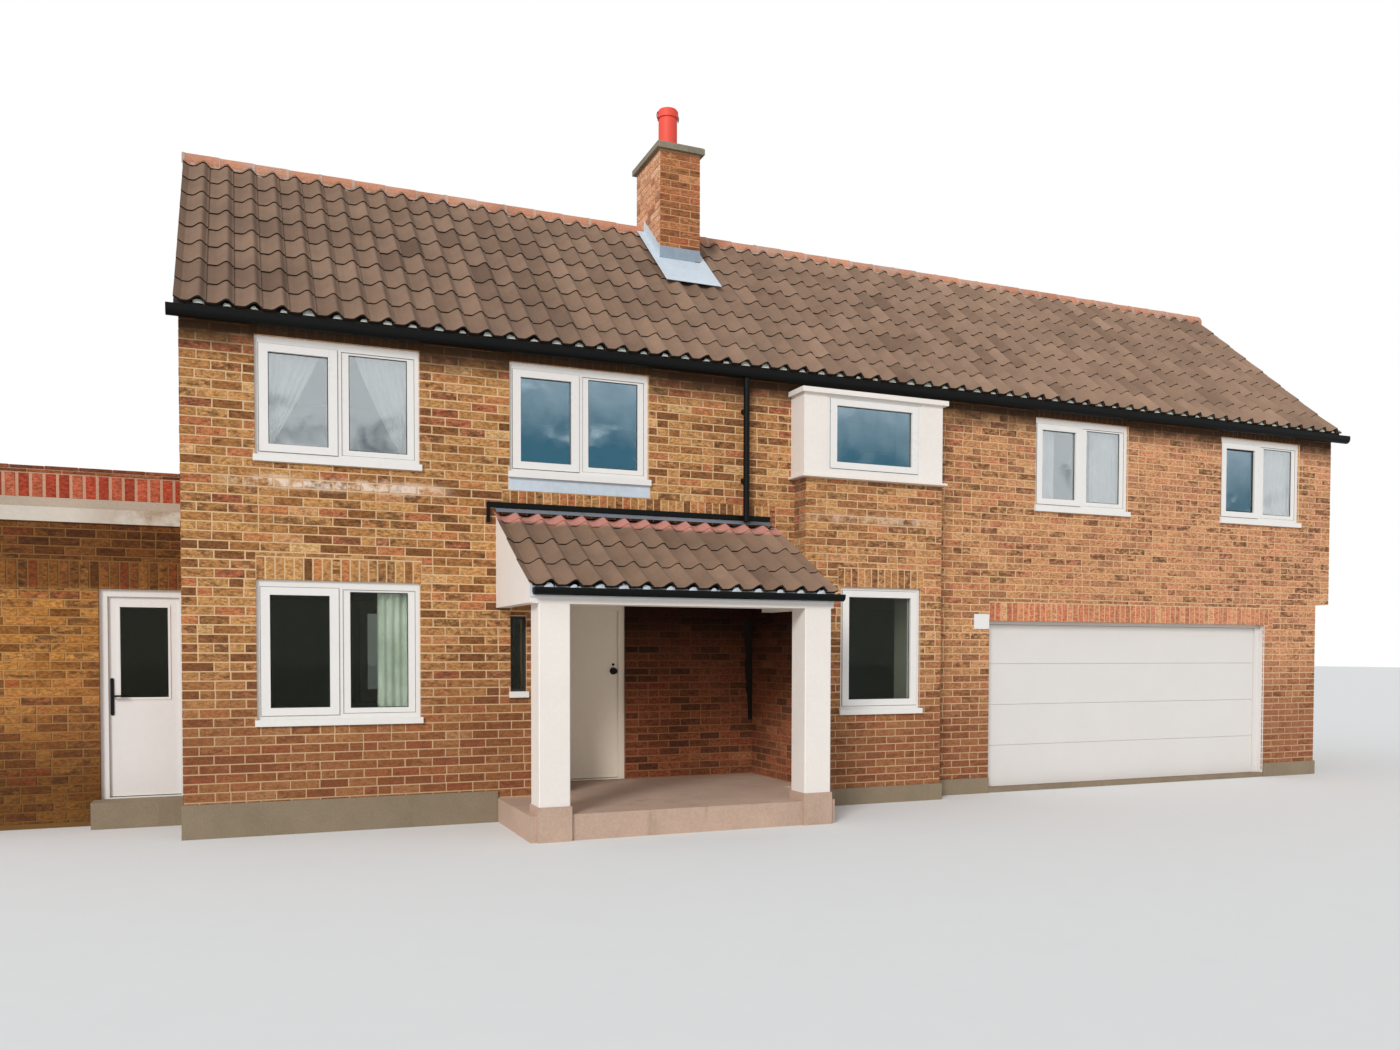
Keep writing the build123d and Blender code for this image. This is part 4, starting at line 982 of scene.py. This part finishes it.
bayMaker = MeshMaker()
bayWindow = next(w for w in windows if w[0].y < frontY - walls["bayDepth"] and w[1].z < walls["bayTop"])
bayHoles = holesOn(bayWindow, bayLow.x)
spread, bayHeadZ = walls["bayHeadSpread"], bayWindow[1].z
bayHead = (bayHoles[1][0] - spread, bayHoles[1][1] + spread, bayHeadZ, bayHeadZ + walls["bayHeadHeight"])
bayTop, bayLeft, bayRight = bayBox[0].z, (bayLow.x, bayLow.y), (bayHigh.x, bayLow.y)
bayFront = panel(bayLeft, bayRight, walls["foot"], bayTop, bayHoles + [bayHead])
layCourses(bayMaker, bayFront)
laySoldiers(bayMaker, bayFront, *bayHead)
layWall(bayMaker, (bayLow.x, frontY), bayLeft, walls["recessFoot"], bayTop, shift=1, corners=(False, True))
layWall(bayMaker, bayRight, (bayHigh.x, frontY), walls["foot"], bayTop, shift=1, corners=(True, False))
bayMaker.build("bayBricks", "brickTan", slot="brick_tan")

recessMaker = MeshMaker()
recessZ = (walls["recessFoot"], walls["recessTop"])
doorHole = (doorFrame[0].x - recessLeft, doorFrame[1].x - recessLeft, 0, doorFrame[1].z)
backLeft, backRight = (recessLeft, recessY), (recessRight, recessY)
layWall(recessMaker, backLeft, backRight, *recessZ, [doorHole], corners=(False, False))
layWall(recessMaker, (recessLeft, frontY), backLeft, *recessZ, shift=1, corners=(True, False))
layWall(recessMaker, (bayLow.x, recessY), (bayLow.x, frontY), *recessZ, corners=(False, False))
recessMaker.build("recessBricks", "brickRecessShaded", slot="brick_recess")


def underGable(u, z):
    return wallTop + slope * min(u, (backY - frontY) - u) - z


gableMaker, rightFront, rightBack = MeshMaker(), (rightX, frontY), (rightX, backY)
layWall(gableMaker, (leftX, backY), (leftX, frontY), walls["foot"], ridge[2], shift=1, roof=underGable)
layWall(gableMaker, (rightLowX, frontY), (rightLowX, backY), walls["foot"], storeyZ, shift=1)
layWall(gableMaker, rightFront, rightBack, storeyZ, ridge[2], shift=1, roof=underGable)
gableMaker.build("gableBricks", "brickTan", slot="brick_tan")

backMaker = MeshMaker()
backHoles = []
for low, high in looseBoxes("window_frames_back"):
    backHoles += holesOn((Vector((rightX - high.x, 0, low.z)), Vector((rightX - low.x, 0, high.z))), 0)
backHoles.append((0, rightX - rightLowX, 0, storeyZ))
layWall(backMaker, rightBack, (leftX, backY), walls["foot"], wallTop, backHoles)
backMaker.build("backBricks", "brickTan", slot="brick_tan")

# Dark strip in the corner of the recess, narrower towards its foot
cornerStrip = {"right": bayLow.x - 0.004, "width": 0.13, "top": 2.12, "foot": 0.9, "proud": 0.0075, "steps": 16,
        "narrower": 0.55, "ragged": (0.8, 1.1)}
cornerStripMaker = MeshMaker()
points = []
for i in range(cornerStrip["steps"] + 1):
    t = i / cornerStrip["steps"]
    z = cornerStrip["top"] + (cornerStrip["foot"] - cornerStrip["top"]) * t
    reach = cornerStrip["width"] * (1 - cornerStrip["narrower"] * t) * random.uniform(*cornerStrip["ragged"])
    points += [Vector((x, recessY - cornerStrip["proud"], z)) for x in (cornerStrip["right"] - reach, cornerStrip["right"])]
cornerStripMaker.add(points, [(2 * i, 2 * i + 1, 2 * i + 3, 2 * i + 2) for i in range(cornerStrip["steps"])])
cornerStripMaker.build("recessCornerStrip", "cornerStripDark")

wingLow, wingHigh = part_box("wing_long_walls")
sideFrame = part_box("side_door_frame")
wingMaker = MeshMaker()
wingWidth, wingZ = leftX - wingLow.x, (walls["wingFoot"], wingHigh.z)
wingHoles = [(sideFrame[0].x - wingLow.x, wingWidth, 0, sideFrame[1].z), (0, wingWidth, *walls["wingHead"])]
wingCorner = (wingLow.x, wingLow.y)
wingFront = panel(wingCorner, (leftX, wingLow.y), *wingZ, wingHoles, corners=(True, False))
layCourses(wingMaker, wingFront)
laySoldiers(wingMaker, wingFront, 0, wingWidth, *walls["wingHead"])
layWall(wingMaker, (wingLow.x, backY), wingCorner, *wingZ, shift=1)
layWall(wingMaker, (leftX, backY), (wingLow.x, backY), *wingZ, corners=(False, True))
wingMaker.build("wingBricks", "brickWing", slot="brick_wing")

# Brick-on-end coping with two thin creasing tiles on top
coping = {
    "pitch": 0.1125,
    "joint": 0.026,
    "creasing": 0.065,
    "depth": 0.222,
    "proud": 0.004,
    "foot": 0.004,
    "head": 0.008,
    "tileLength": 0.29,
    "tileJoint": 0.003,
    "tileProud": 0.009,
    "tileVary": (-0.003, 0.002),
    "tileRise": (0.003, 0.006),
    "tileDrop": 0.002,
    "tileDeep": 0.02,
}
copingLow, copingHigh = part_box("wing_coping")
copingMaker, creasingMaker = MeshMaker(), MeshMaker()


def layCoping(start, end, corners=(True, True)):
    c = coping
    wall = panel(start, end, copingLow.z, copingHigh.z)
    width, length = wall["width"], c["tileLength"]
    top, half = copingHigh.z - c["creasing"], c["joint"] / 2
    count = round(width / c["pitch"])
    step = width / count
    for i in range(count):
        left = -c["proud"] if i == 0 and corners[0] else i * step + half
        right = width + c["proud"] if i == count - 1 and corners[1] else (i + 1) * step - half
        outline = rectangle(left, right, copingLow.z + c["foot"], top - c["head"])
        addBlock(copingMaker, wall, outline, c["proud"])
    for row in (0, 1):
        low = top + row * c["creasing"] / 2
        u = -row * length / 2
        while u < width:
            left = max(-c["tileProud"] if corners[0] else 0, u + c["tileJoint"])
            right = min(width, u + length - c["tileJoint"])
            if right - left > c["tileDeep"]:
                lid = low + c["creasing"] / 2 + (random.uniform(*c["tileRise"]) if row else -c["tileDrop"])
                proud = c["tileProud"] + random.uniform(*c["tileVary"])
                outline = rectangle(left, right, low + c["tileJoint"], lid)
                addBlock(creasingMaker, wall, outline, proud, deep=c["depth"] if row else c["tileDeep"])
            u += length


layCoping((copingLow.x, copingLow.y), (leftX, copingLow.y), (True, False))
layCoping((copingLow.x, copingHigh.y), (copingLow.x, copingLow.y))
layCoping((leftX, copingHigh.y), (copingLow.x, copingHigh.y), (False, True))
copingMaker.build("copingBricks", "brickRed", slot="brick_red")
creasingMaker.build("copingCreasing", "creasingTile")
print("coping laid")

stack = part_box("chimney_stack")
# Painted light: the stack's left side, where the sun falls, gets paler bricks
stackMaker, litSideMaker = MeshMaker(), MeshMaker()
corners = rectangle(stack[0].x, stack[1].x, stack[0].y, stack[1].y)
for i in range(4):
    side = (corners[i], corners[(i + 1) % 4], ridge[2] - walls["stackBelow"], stack[1].z)
    layWall(litSideMaker if i == 3 else stackMaker, *side, proud=walls["stackProud"], shift=i % 2)
stackMaker.build("chimneyBricks", "brickStack", slot="brick_tan")
litSideMaker.build("chimneyLitSideBricks", "brickStackLitSide", slot="brick_tan")

# Concrete pantiles with one broad trough and one roll each, laid row over row on the CAD wave
tiles = {
    "firstCrest": 0.206,
    "crestShare": 0.80,
    "flatShare": 0.36,
    "lap": 0.05,
    "thick": 0.021,
    "roll": 0.056,
    "rollByLead": 0.039,
    "leadReach": (0.2, 0.25),
    "lip": 0.014,
    "bed": 0.002,
    "lift": 0.018,
    "eavesLift": 0.012,
    "nose": 0.004,
    "noseDrop": 0.7,
    "samples": (0, 0.18, 0.36, 0.44, 0.51, 0.58, 0.65, 0.71, 0.76, 0.80, 0.84, 0.89, 0.94, 0.99, 1.03, 1.05),
    "probe": 0.2,
    "vary": 0.001,
    "skew": 0.0025,
    "toneSpread": 0.13,
    "tones": (0.05, 0.98),
    "tailShadeTone": -1.0,
    "ridgeGap": 0.035,
    "stackInset": (0.02, 0.1),
}
mainTiles = {"width": 0.235, "rowPitch": 0.411}
porchTiles = {"width": 0.2295, "rowPitch": 0.463}


def tileHeight(t, roll):
    start, crest, end = tiles["flatShare"], tiles["crestShare"], tiles["samples"][-1]
    if t < 0:
        t += 1
    if t < start:
        return 0.0
    if t < crest:
        return roll * (0.5 - 0.5 * math.cos(math.pi * (t - start) / (crest - start)))
    fall = min(1, (t - crest) / (end - crest))
    return tiles["lip"] + (roll - tiles["lip"]) * (0.5 + 0.5 * math.cos(math.pi * fall))


def addTile(maker, origin, across, up, out, width, length, samples, raised0, roll):
    darkest, lightest = tiles["tones"]
    tone = min(lightest, max(darkest, random.gauss(0.5, tiles["toneSpread"])))
    wobble, skew = vary(tiles["vary"]), vary(tiles["skew"])
    lift = tiles["lift"] + raised0 + vary(tiles["vary"])
    thick, nose, n = tiles["thick"], tiles["nose"], len(samples)
    rings = [(length, 0.0, 0.0), (nose, lift, 0.0), (0.0, lift, nose * tiles["noseDrop"]), (0.0, lift, thick),
             (length, 0.0, thick)]
    points = []
    for along, raised, sunk in rings:
        for t in samples:
            high = tiles["bed"] + tileHeight(t, roll) + raised - sunk + wobble * (t - 0.5)
            points.append(origin + across * (t * width) + up * (along + skew * t) + out * high)
    order = -1 if across.cross(up).dot(out) < 0 else 1
    maker.add(points, [])
    for r in range(len(rings)):
        a, b = r * n, ((r + 1) % len(rings)) * n
        faces = [(a + i, b + i, b + i + 1, a + i + 1)[::order] for i in range(n - 1)]
        maker.addFaces(faces, tiles["tailShadeTone"] if r == 2 else tone)
    starts = [r * n for r in range(len(rings))]
    ends = [tuple(reversed(starts)), tuple(s + n - 1 for s in starts)]
    maker.addFaces([f[::order] for f in ends], tone * 0.5)


def byLead(p):
    (low, high), (reachX, reachY) = leadBox, tiles["leadReach"]
    return low.x - reachX < p.x < high.x + reachX and low.y - reachY < p.y < high.y + reachY


def inStack(p):
    insetX, insetY = tiles["stackInset"]
    return (stack[0].x + insetX < p.x < stack[1].x - insetX
            and stack[0].y + insetY < p.y < stack[1].y - insetY)


def tileSlope(name, material, replaced, kind, low, high, x0, x1):
    maker, across, rise = MeshMaker(), Vector((1, 0, 0)), Vector((0, *high)) - Vector((0, *low))
    up = rise.normalized()
    out = up.cross(across) if up.y < 0 else across.cross(up)
    width = kind["width"]
    origin = x0 + tiles["firstCrest"] - tiles["crestShare"] * width
    for row in range(math.ceil(rise.length / kind["rowPitch"])):
        s = row * kind["rowPitch"]
        length = min(kind["rowPitch"] + tiles["lap"], rise.length - s)
        raised0 = tiles["eavesLift"] if row == 0 else 0.0
        for i in range(math.ceil((x1 - origin) / width)):
            left = origin + i * width
            samples = [t for t in tiles["samples"] if left + t * width < x1]
            if i == 0:
                samples[0] = (x0 - left) / width
            if left + samples[-1] * width < x1 < left + width * tiles["samples"][-1]:
                samples.append((x1 - left) / width)
            spot = Vector((left, *low)) + up * s
            probe = spot + across * width / 2 + up * tiles["probe"]
            if len(samples) > 1 and not inStack(probe):
                roll = tiles["rollByLead"] if byLead(probe) else tiles["roll"]
                addTile(maker, spot, across, up, out, width, length, samples, raised0, roll)
    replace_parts(maker.build(name, material, slot="roof_tile"), replaced)


def onRoof(line, y):
    low, top, rise = line
    return (y, low[2] + rise * (y - low[1]))


leadBox, mainBox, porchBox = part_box("chimney_flashing"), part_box("main_tiles_front"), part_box("porch_tiles")
mainLine, porchLine = (eaves, ridge, slope), roofLine("porch_roof")
roofLeft, roofRight, eavesTileY = mainBox[0].x, mainBox[1].x, mainBox[0].y
tileLow = onRoof(mainLine, eavesTileY)
tileHigh = (-tiles["ridgeGap"], ridge[2] - slope * tiles["ridgeGap"])
backSide = ((-tileLow[0], tileLow[1]), (-tileHigh[0], tileHigh[1]))
porchSide = (onRoof(porchLine, porchBox[0].y), onRoof(porchLine, porchBox[1].y))
tileSlope("frontTiles", "roofTile", "main_tiles_front", mainTiles, tileLow, tileHigh, roofLeft, roofRight)
tileSlope("backTiles", "roofTile", "main_tiles_back", mainTiles, *backSide, roofLeft, roofRight)
tileSlope("porchTiles", "porchTile", "porch_tiles", porchTiles, *porchSide, porchBox[0].x, porchBox[1].x)

# Lumps of bedding mortar in the hollows under the eaves rolls
lumps = {
    "width": 0.10,
    "height": 0.04,
    "depth": 0.03,
    "behind": 0.008,
    "steps": 8,
    "rings": ((1.0, 0.0), (0.86, 0.55), (0.45, 0.95)),
    "ragged": (0.8, 1.15),
    "sizes": (0.7, 1.2),
    "shift": 0.012,
    "over": 0.002,
    "porchUnder": 0.004,
    "porchSize": 0.95,
}


def addLump(maker, spot, width, height, depth):
    points = []
    for scale, lift in lumps["rings"]:
        for i in range(lumps["steps"]):
            a = 2 * math.pi * i / lumps["steps"]
            jitter = random.uniform(*lumps["ragged"])
            x, y = 0.5 * width * scale * jitter * math.cos(a), 0.5 * depth * scale * math.sin(a)
            points.append(spot + Vector((x, y, height * lift * jitter)))
    maker.add(points, ringFaces(len(lumps["rings"]), lumps["steps"]), random.random())


def lumpRow(maker, kind, x0, x1, y, z, size=1.0):
    x = x0 + tiles["firstCrest"]
    while x < x1:
        spot = Vector((x + vary(lumps["shift"]), y, z))
        grow = random.uniform(*lumps["sizes"]) * size
        addLump(maker, spot, lumps["width"] * grow, lumps["height"] * grow, lumps["depth"])
        x += kind["width"]


lumpMaker, fillMaker = MeshMaker(), MeshMaker()
lumpY, lumpZ = onRoof(mainLine, eavesTileY + lumps["behind"])
for y in (lumpY, -lumpY):
    lumpRow(lumpMaker, mainTiles, roofLeft, roofRight, y, lumpZ + lumps["over"])
lumpMaker.build("eavesMortar", "lumpMortar")
fillY, fillZ = onRoof(porchLine, porchBox[0].y + lumps["behind"])
fillZ -= lumps["porchUnder"]
lumpRow(fillMaker, porchTiles, porchBox[0].x, porchBox[1].x, fillY, fillZ, lumps["porchSize"])
fillMaker.build("porchEavesFillers", "eavesBoard")
print("roof tiled")

# Half-round ridge tiles with a collar of pale mortar at each joint, on a bed of mortar
ridgeLook = {
    "radius": 0.125,
    "inner": 0.108,
    "flare": 0.004,
    "pitch": 0.36,
    "gap": 0.003,
    "drop": 0.06,
    "vary": 0.004,
    "turn": 100,
    "steps": 12,
    "collarHalf": 0.016,
    "collarOver": (0.006, 0.004),
}
bedding = {
    "out": 0.132,
    "outVary": (-0.012, 0.006),
    "height": 0.046,
    "heightVary": (-0.006, 0.004),
    "step": 0.06,
    "clear": 0.03,
}


def addShell(maker, x0, x1, over0, over1, centre):
    look, steps, points = ridgeLook, ridgeLook["steps"], []
    radius, inner = look["radius"], look["inner"]
    rings = ((x0, radius + over0), (x1, radius + over1), (x1, inner), (x0, inner))
    for x, reach in rings:
        for i in range(steps + 1):
            a = math.radians(-look["turn"] + 2 * look["turn"] * i / steps)
            points.append(Vector((x, centre.y + reach * math.sin(a), centre.z + reach * math.cos(a))))
    faces, starts = [], [ring * (steps + 1) for ring in range(len(rings))]
    for a, b in zip(starts, starts[1:] + starts[:1]):
        faces += [(a + i, a + i + 1, b + i + 1, b + i) for i in range(steps)]
    faces += [tuple(starts), tuple(start + steps for start in reversed(starts))]
    maker.add(points, faces, random.random())


ridgeMaker, collarMaker, beddingMaker = MeshMaker(), MeshMaker(), MeshMaker()
for start, end in ((roofLeft, stack[0].x), (stack[1].x, roofRight)):
    count = round((end - start) / ridgeLook["pitch"])
    step, gap, half = (end - start) / count, ridgeLook["gap"], ridgeLook["collarHalf"]
    for i in range(count):
        x = start + (end - start) * i / count
        shift = vary(ridgeLook["vary"])
        centre = Vector((0, shift, ridge[2] - ridgeLook["drop"] + vary(ridgeLook["vary"])))
        addShell(ridgeMaker, x + gap, x + step - gap, 0, ridgeLook["flare"], centre)
        addShell(collarMaker, x - half, x + half, *ridgeLook["collarOver"], centre)
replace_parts(ridgeMaker.build("ridgeClayTiles", "ridgeClay", slot="ridge_terracotta"), "ridge_tiles")
collarMaker.build("ridgeCollars", "beddingMortar")
x = roofLeft
while x < roofRight - bedding["step"]:
    if not stack[0].x - bedding["clear"] < x + bedding["step"] / 2 < stack[1].x + bedding["clear"]:
        points = []
        for end in (x, x + bedding["step"]):
            out = bedding["out"] + random.uniform(*bedding["outVary"])
            low = ridge[2] - slope * out
            top = low + bedding["height"] + random.uniform(*bedding["heightVary"])
            points += [Vector((end, *p)) for p in ((-out, low), (-out, top), (out, top), (out, low))]
        sides = [(0, 1, 5, 4), (1, 2, 6, 5), (2, 3, 7, 6), (0, 3, 2, 1), (4, 5, 6, 7)]
        beddingMaker.add(points, sides, random.random())
    x += bedding["step"]
beddingMaker.build("ridgeBedding", "beddingMortar")
print("ridge laid")

# Mortar slope and wire loops round the pot
potLook = {
    "slope": 0.07,
    "slopeVary": (0.85, 1.15),
    "inset": 0.03,
    "sunk": 0.004,
    "ring": 0.15,
    "ringSteps": 24,
    "wire": 0.005,
    "wireSides": 8,
    "wireSteps": 12,
    "loops": (0.03, 0.12),
    "loopReach": 0.012,
    "upright": 0.9,
    "tiny": 1e-6,
}
capBox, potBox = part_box("chimney_cap"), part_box("chimney_pot")
potSpot, capSpot, capSize = (potBox[0] + potBox[1]) / 2, (capBox[0] + capBox[1]) / 2, capBox[1] - capBox[0]
capMaker, wireMaker = MeshMaker(), MeshMaker()
reachX, reachY = capSize.x / 2 - potLook["inset"], capSize.y / 2 - potLook["inset"]
low, high = [], []
for i in range(potLook["ringSteps"]):
    a = 2 * math.pi * i / potLook["ringSteps"]
    turn = Vector((math.cos(a), math.sin(a), 0))
    reach = min(size / max(potLook["tiny"], abs(part)) for size, part in zip((reachX, reachY), turn))
    rise = potLook["slope"] * random.uniform(*potLook["slopeVary"])
    low.append(Vector((capSpot.x, capSpot.y, capBox[1].z - potLook["sunk"])) + turn * reach)
    high.append(Vector((potSpot.x, potSpot.y, capBox[1].z + rise)) + turn * potLook["ring"])
capMaker.add(low + high, ringFaces(2, len(low)))
capMaker.build("capMortar", "chimneyConcrete")


def addTube(maker, spots, radius, sides):
    points = []
    for i, spot in enumerate(spots):
        ahead = (spots[min(i + 1, len(spots) - 1)] - spots[max(i - 1, 0)]).normalized()
        aside = (0, 0, 1) if abs(ahead.z) < potLook["upright"] else (1, 0, 0)
        side = ahead.cross(Vector(aside)).normalized()
        other = ahead.cross(side)
        for k in range(sides):
            a = 2 * math.pi * k / sides
            points.append(spot + radius * (math.cos(a) * side + math.sin(a) * other))
    maker.add(points, ringFaces(len(spots), sides))


for side in (-1, 1):
    edge = potSpot.x + side * ((potBox[1].x - potBox[0].x) / 2 + potLook["wire"])
    (first, last), spots = potLook["loops"], []
    for i in range(potLook["wireSteps"] + 1):
        t = i / potLook["wireSteps"]
        x = edge + side * potLook["loopReach"] * math.sin(math.pi * t)
        spots.append(Vector((x, potSpot.y, potBox[1].z - first - (last - first) * t)))
    addTube(wireMaker, spots, potLook["wire"], potLook["wireSides"])
wireMaker.build("potWires", "blackMetal")

# Dark gaskets round the panes, and dark seal strips round sashes and beads that are also painted shadow gaps
gaskets = {
    "width": 0.007,
    "paneFace": (-0.001, 0.004),
    "gap": 0.004,
    "gapFace": (-0.001, 0.0015),
    "sash": (0.082, 0.072),
    "beadX": 0.068,
    "beadZ": (0.053, 0.021),
    "beadGap": 0.0035,
    "paneBack": 0.022,
    "beadBack": 0.010,
    "match": 0.002,
    "endWidth": 0.02,
    "endFace": (-0.006, 0.001),
}


def addRing(maker, x0, x1, z0, z1, y, side, face, width):
    sides = ((x0, x0 + width, z0, z1), (x1 - width, x1, z0, z1),
             (x0 + width, x1 - width, z0, z0 + width), (x0 + width, x1 - width, z1 - width, z1))
    faces = [(0, 1, 2, 3), (7, 6, 5, 4), (0, 4, 5, 1), (1, 5, 6, 2), (2, 6, 7, 3), (3, 7, 4, 0)]
    depths = sorted(y + side * step for step in face)
    for bar in sides:
        maker.add([Vector((x, depth, z)) for depth in depths for x, z in rectangle(*bar)], faces)


def addGaskets(maker, paneNode, frameNode, side):
    g, corners = gaskets, nodeCorners(frameNode)

    def hasCorner(x, z):
        return np.hypot(corners[:, 0] - x, corners[:, 2] - z).min() < g["match"]

    (sashX, sashZ), beadX, (beadLow, beadHigh) = g["sash"], g["beadX"], g["beadZ"]
    for low, high in looseBoxes(paneNode):
        paneY = low.y if side < 0 else high.y
        face = paneY + side * g["paneBack"]
        addRing(maker, low.x, high.x, low.z, high.z, paneY, side, g["paneFace"], g["width"])
        if hasCorner(low.x - sashX, low.z - sashZ):
            wide, tall = sashX + g["gap"], sashZ + g["gap"]
            ring = (low.x - wide, high.x + wide, low.z - tall, high.z + tall)
            addRing(maker, *ring, face, side, g["gapFace"], g["gap"])
        elif hasCorner(low.x - beadX, low.z - beadLow):
            ring = (low.x - beadX, high.x + beadX, low.z - beadLow, high.z + beadHigh)
            addRing(maker, *ring, face - side * g["beadBack"], side, g["gapFace"], g["beadGap"])


gasketMaker = MeshMaker()
addGaskets(gasketMaker, "window_glass_front", "window_frames_front", -1)
addGaskets(gasketMaker, "window_glass_back", "window_frames_back", 1)
endLow, endHigh = upperWindows[-1]
for low, high in looseBoxes("window_glass_front"):
    if low.z > storeyZ and endLow.x < low.x < (endLow.x + endHigh.x) / 2:
        ring = (low.x + gaskets["gap"], high.x, low.z, high.z)
        addRing(gasketMaker, *ring, low.y, 1, gaskets["endFace"], gaskets["endWidth"])
gasketMaker.build("windowGaskets", "gasketRubberAndPaintedShade")
print("gaskets set")

# Curtains hung in the window reveals, pleated to keep the width of their cloth
curtains = {
    "behind": 0.125,
    "columns": 8,
    "rows": 14,
    "pleatWidth": 0.075,
    "fewest": 3,
    "ripple": 0.35,
    "rippleTurn": 0.37,
    "rippleDrift": 2.1,
    "flattest": 0.05,
}
curtainPlan = {
    "curtainBedLeft": {"window": 0, "top": (0.03, 0.42), "foot": (0.03, 0.09), "drop": 0.90, "bend": 1.15,
                       "fullness": 1.35},
    "curtainBedRight": {"window": 0, "top": (0.59, 0.97), "foot": (0.91, 0.97), "drop": 0.93, "bend": 1.25,
                        "fullness": 1.35},
    "curtainMiddleLeft": {"window": 2, "top": (0.03, 0.26), "foot": (0.03, 0.26), "drop": 0.97, "bend": 1.0,
                          "fullness": 1.5},
    "curtainMiddleRight": {"window": 2, "top": (0.64, 0.97), "foot": (0.64, 0.97), "drop": 0.97, "bend": 1.0,
                           "fullness": 1.5},
    "curtainEndRight": {"window": 3, "top": (0.53, 0.97), "foot": (0.53, 0.97), "drop": 0.97, "bend": 1.0,
                        "fullness": 1.3},
    "curtainLowRight": {"window": 0, "top": (0.73, 0.97), "foot": (0.73, 0.97), "drop": 0.97, "bend": 1.0,
                        "fullness": 1.6, "low": True},
}


def hangCurtain(name, plan):
    c, isLow = curtains, plan.get("low")
    low, high = (lowerWindows if isLow else upperWindows)[plan["window"]]
    width, drop = high.x - low.x, plan["drop"] * (high.z - low.z)
    (topLeft, topRight), (footLeft, footRight) = plan["top"], plan["foot"]
    topWidth = (topRight - topLeft) * width
    cloth = topWidth * plan["fullness"]
    pleats = max(c["fewest"], round(topWidth / c["pleatWidth"]))
    columns = pleats * c["columns"]
    points = []
    for r in range(c["rows"] + 1):
        t = r / c["rows"]
        share = t ** plan["bend"]
        left = topLeft + (footLeft - topLeft) * share
        reach = (topRight + (footRight - topRight) * share - left) * width
        spare = max(c["flattest"], (cloth / reach) ** 2 - 1)
        deep = math.sqrt(2 * spare) * reach / (2 * math.pi * pleats)
        for i in range(columns + 1):
            wave = 2 * math.pi * pleats * i / columns
            ripple = c["ripple"] * math.sin(c["rippleTurn"] * wave + c["rippleDrift"] * t)
            y = frontY + c["behind"] + deep * (math.sin(wave) + ripple) / (1 + c["ripple"] ** 2)
            points.append(Vector((low.x + left * width + reach * i / columns, y, high.z - drop * t)))
    n = columns + 1
    maker = MeshMaker()
    maker.add(points, [(r * n + i, (r + 1) * n + i, (r + 1) * n + i + 1, r * n + i + 1)
                       for r in range(c["rows"]) for i in range(columns)])
    made = maker.build(name, "lowCurtain" if isLow else "netCurtain", smooth=True)


for name, plan in curtainPlan.items():
    hangCurtain(name, plan)
print("curtains hung")

# Floor, light and background; the camera and reflections see plain white
studio = {
    "floorHalf": 120.0,
    "floor": (226, 225, 222),
    "floorDark": 0.97,
    "sunStrength": 2.05,
    "sunAngle": 16.0,
    "sunFrom": (-0.66, -0.72, 0.50),
    "skyStrength": 0.74,
    "skyStops": [(0.0, (0.72, 0.72, 0.72, 1)), (0.5, (0.82, 0.86, 0.92, 1))],
    "leftShare": 1.42,
    "rightShare": 0.72,
}


def makeFloor(s):
    half, colour = s["floorHalf"], srgb(*s["floor"])
    mesh = bpy.data.meshes.new("studioFloor")
    mesh.from_pydata([(x, y, 0) for x, y in rectangle(-half, half, -half, half)], [], [(0, 1, 2, 3)])
    made, k, sockets = newMaterial("studioFloor", roughness=0.9, specular=0.1)
    grains = k.use(grainGroup, Scale=4.0, Coarse=0.5)
    stops = [(0.2, scaled(colour, s["floorDark"])), (0.8, colour)]
    k.put(k.ramp(grains["Mask"], stops), sockets["Base Color"])
    mesh.materials.append(made)
    floor = bpy.data.objects.new("studioFloor", mesh)
    scene.collection.objects.link(floor)


def makeLight(s):
    sun = bpy.data.lights.new("softSun", "SUN")
    sun.energy = s["sunStrength"]
    sun.angle = math.radians(s["sunAngle"])
    made = bpy.data.objects.new("softSun", sun)
    made.rotation_mode = "QUATERNION"
    made.rotation_quaternion = Vector(s["sunFrom"]).to_track_quat("Z", "Y")
    scene.collection.objects.link(made)
    world = bpy.data.worlds.new("studioSky")
    world.use_nodes = True
    scene.world = world
    k = Nodes(world.node_tree)
    sockets = k.tree.nodes["Background"].inputs
    toward = k.add("SeparateXYZ", {0: k.add("TexCoord").outputs["Generated"]}).outputs
    path = k.add("LightPath").outputs
    seen = k.maths("MAXIMUM", path["Is Camera Ray"], path["Is Glossy Ray"])
    seen = k.maths("MAXIMUM", seen, path["Is Transmission Ray"])
    ends = {0: toward[0], 1: -1.0, 2: 1.0, 3: s["leftShare"], 4: s["rightShare"]}
    side = k.add("MapRange", ends).outputs[0]
    soft = k.ramp(toward[2], s["skyStops"])
    soft = k.add("VectorMath", {0: soft, "Scale": side}, operation="SCALE").outputs[0]
    k.put(k.blend(seen, soft, (1, 1, 1, 1)), sockets["Color"])
    k.put(k.plus(k.times(seen, 1 - s["skyStrength"]), s["skyStrength"]), sockets["Strength"])


makeFloor(studio)
makeLight(studio)
print("studio made")
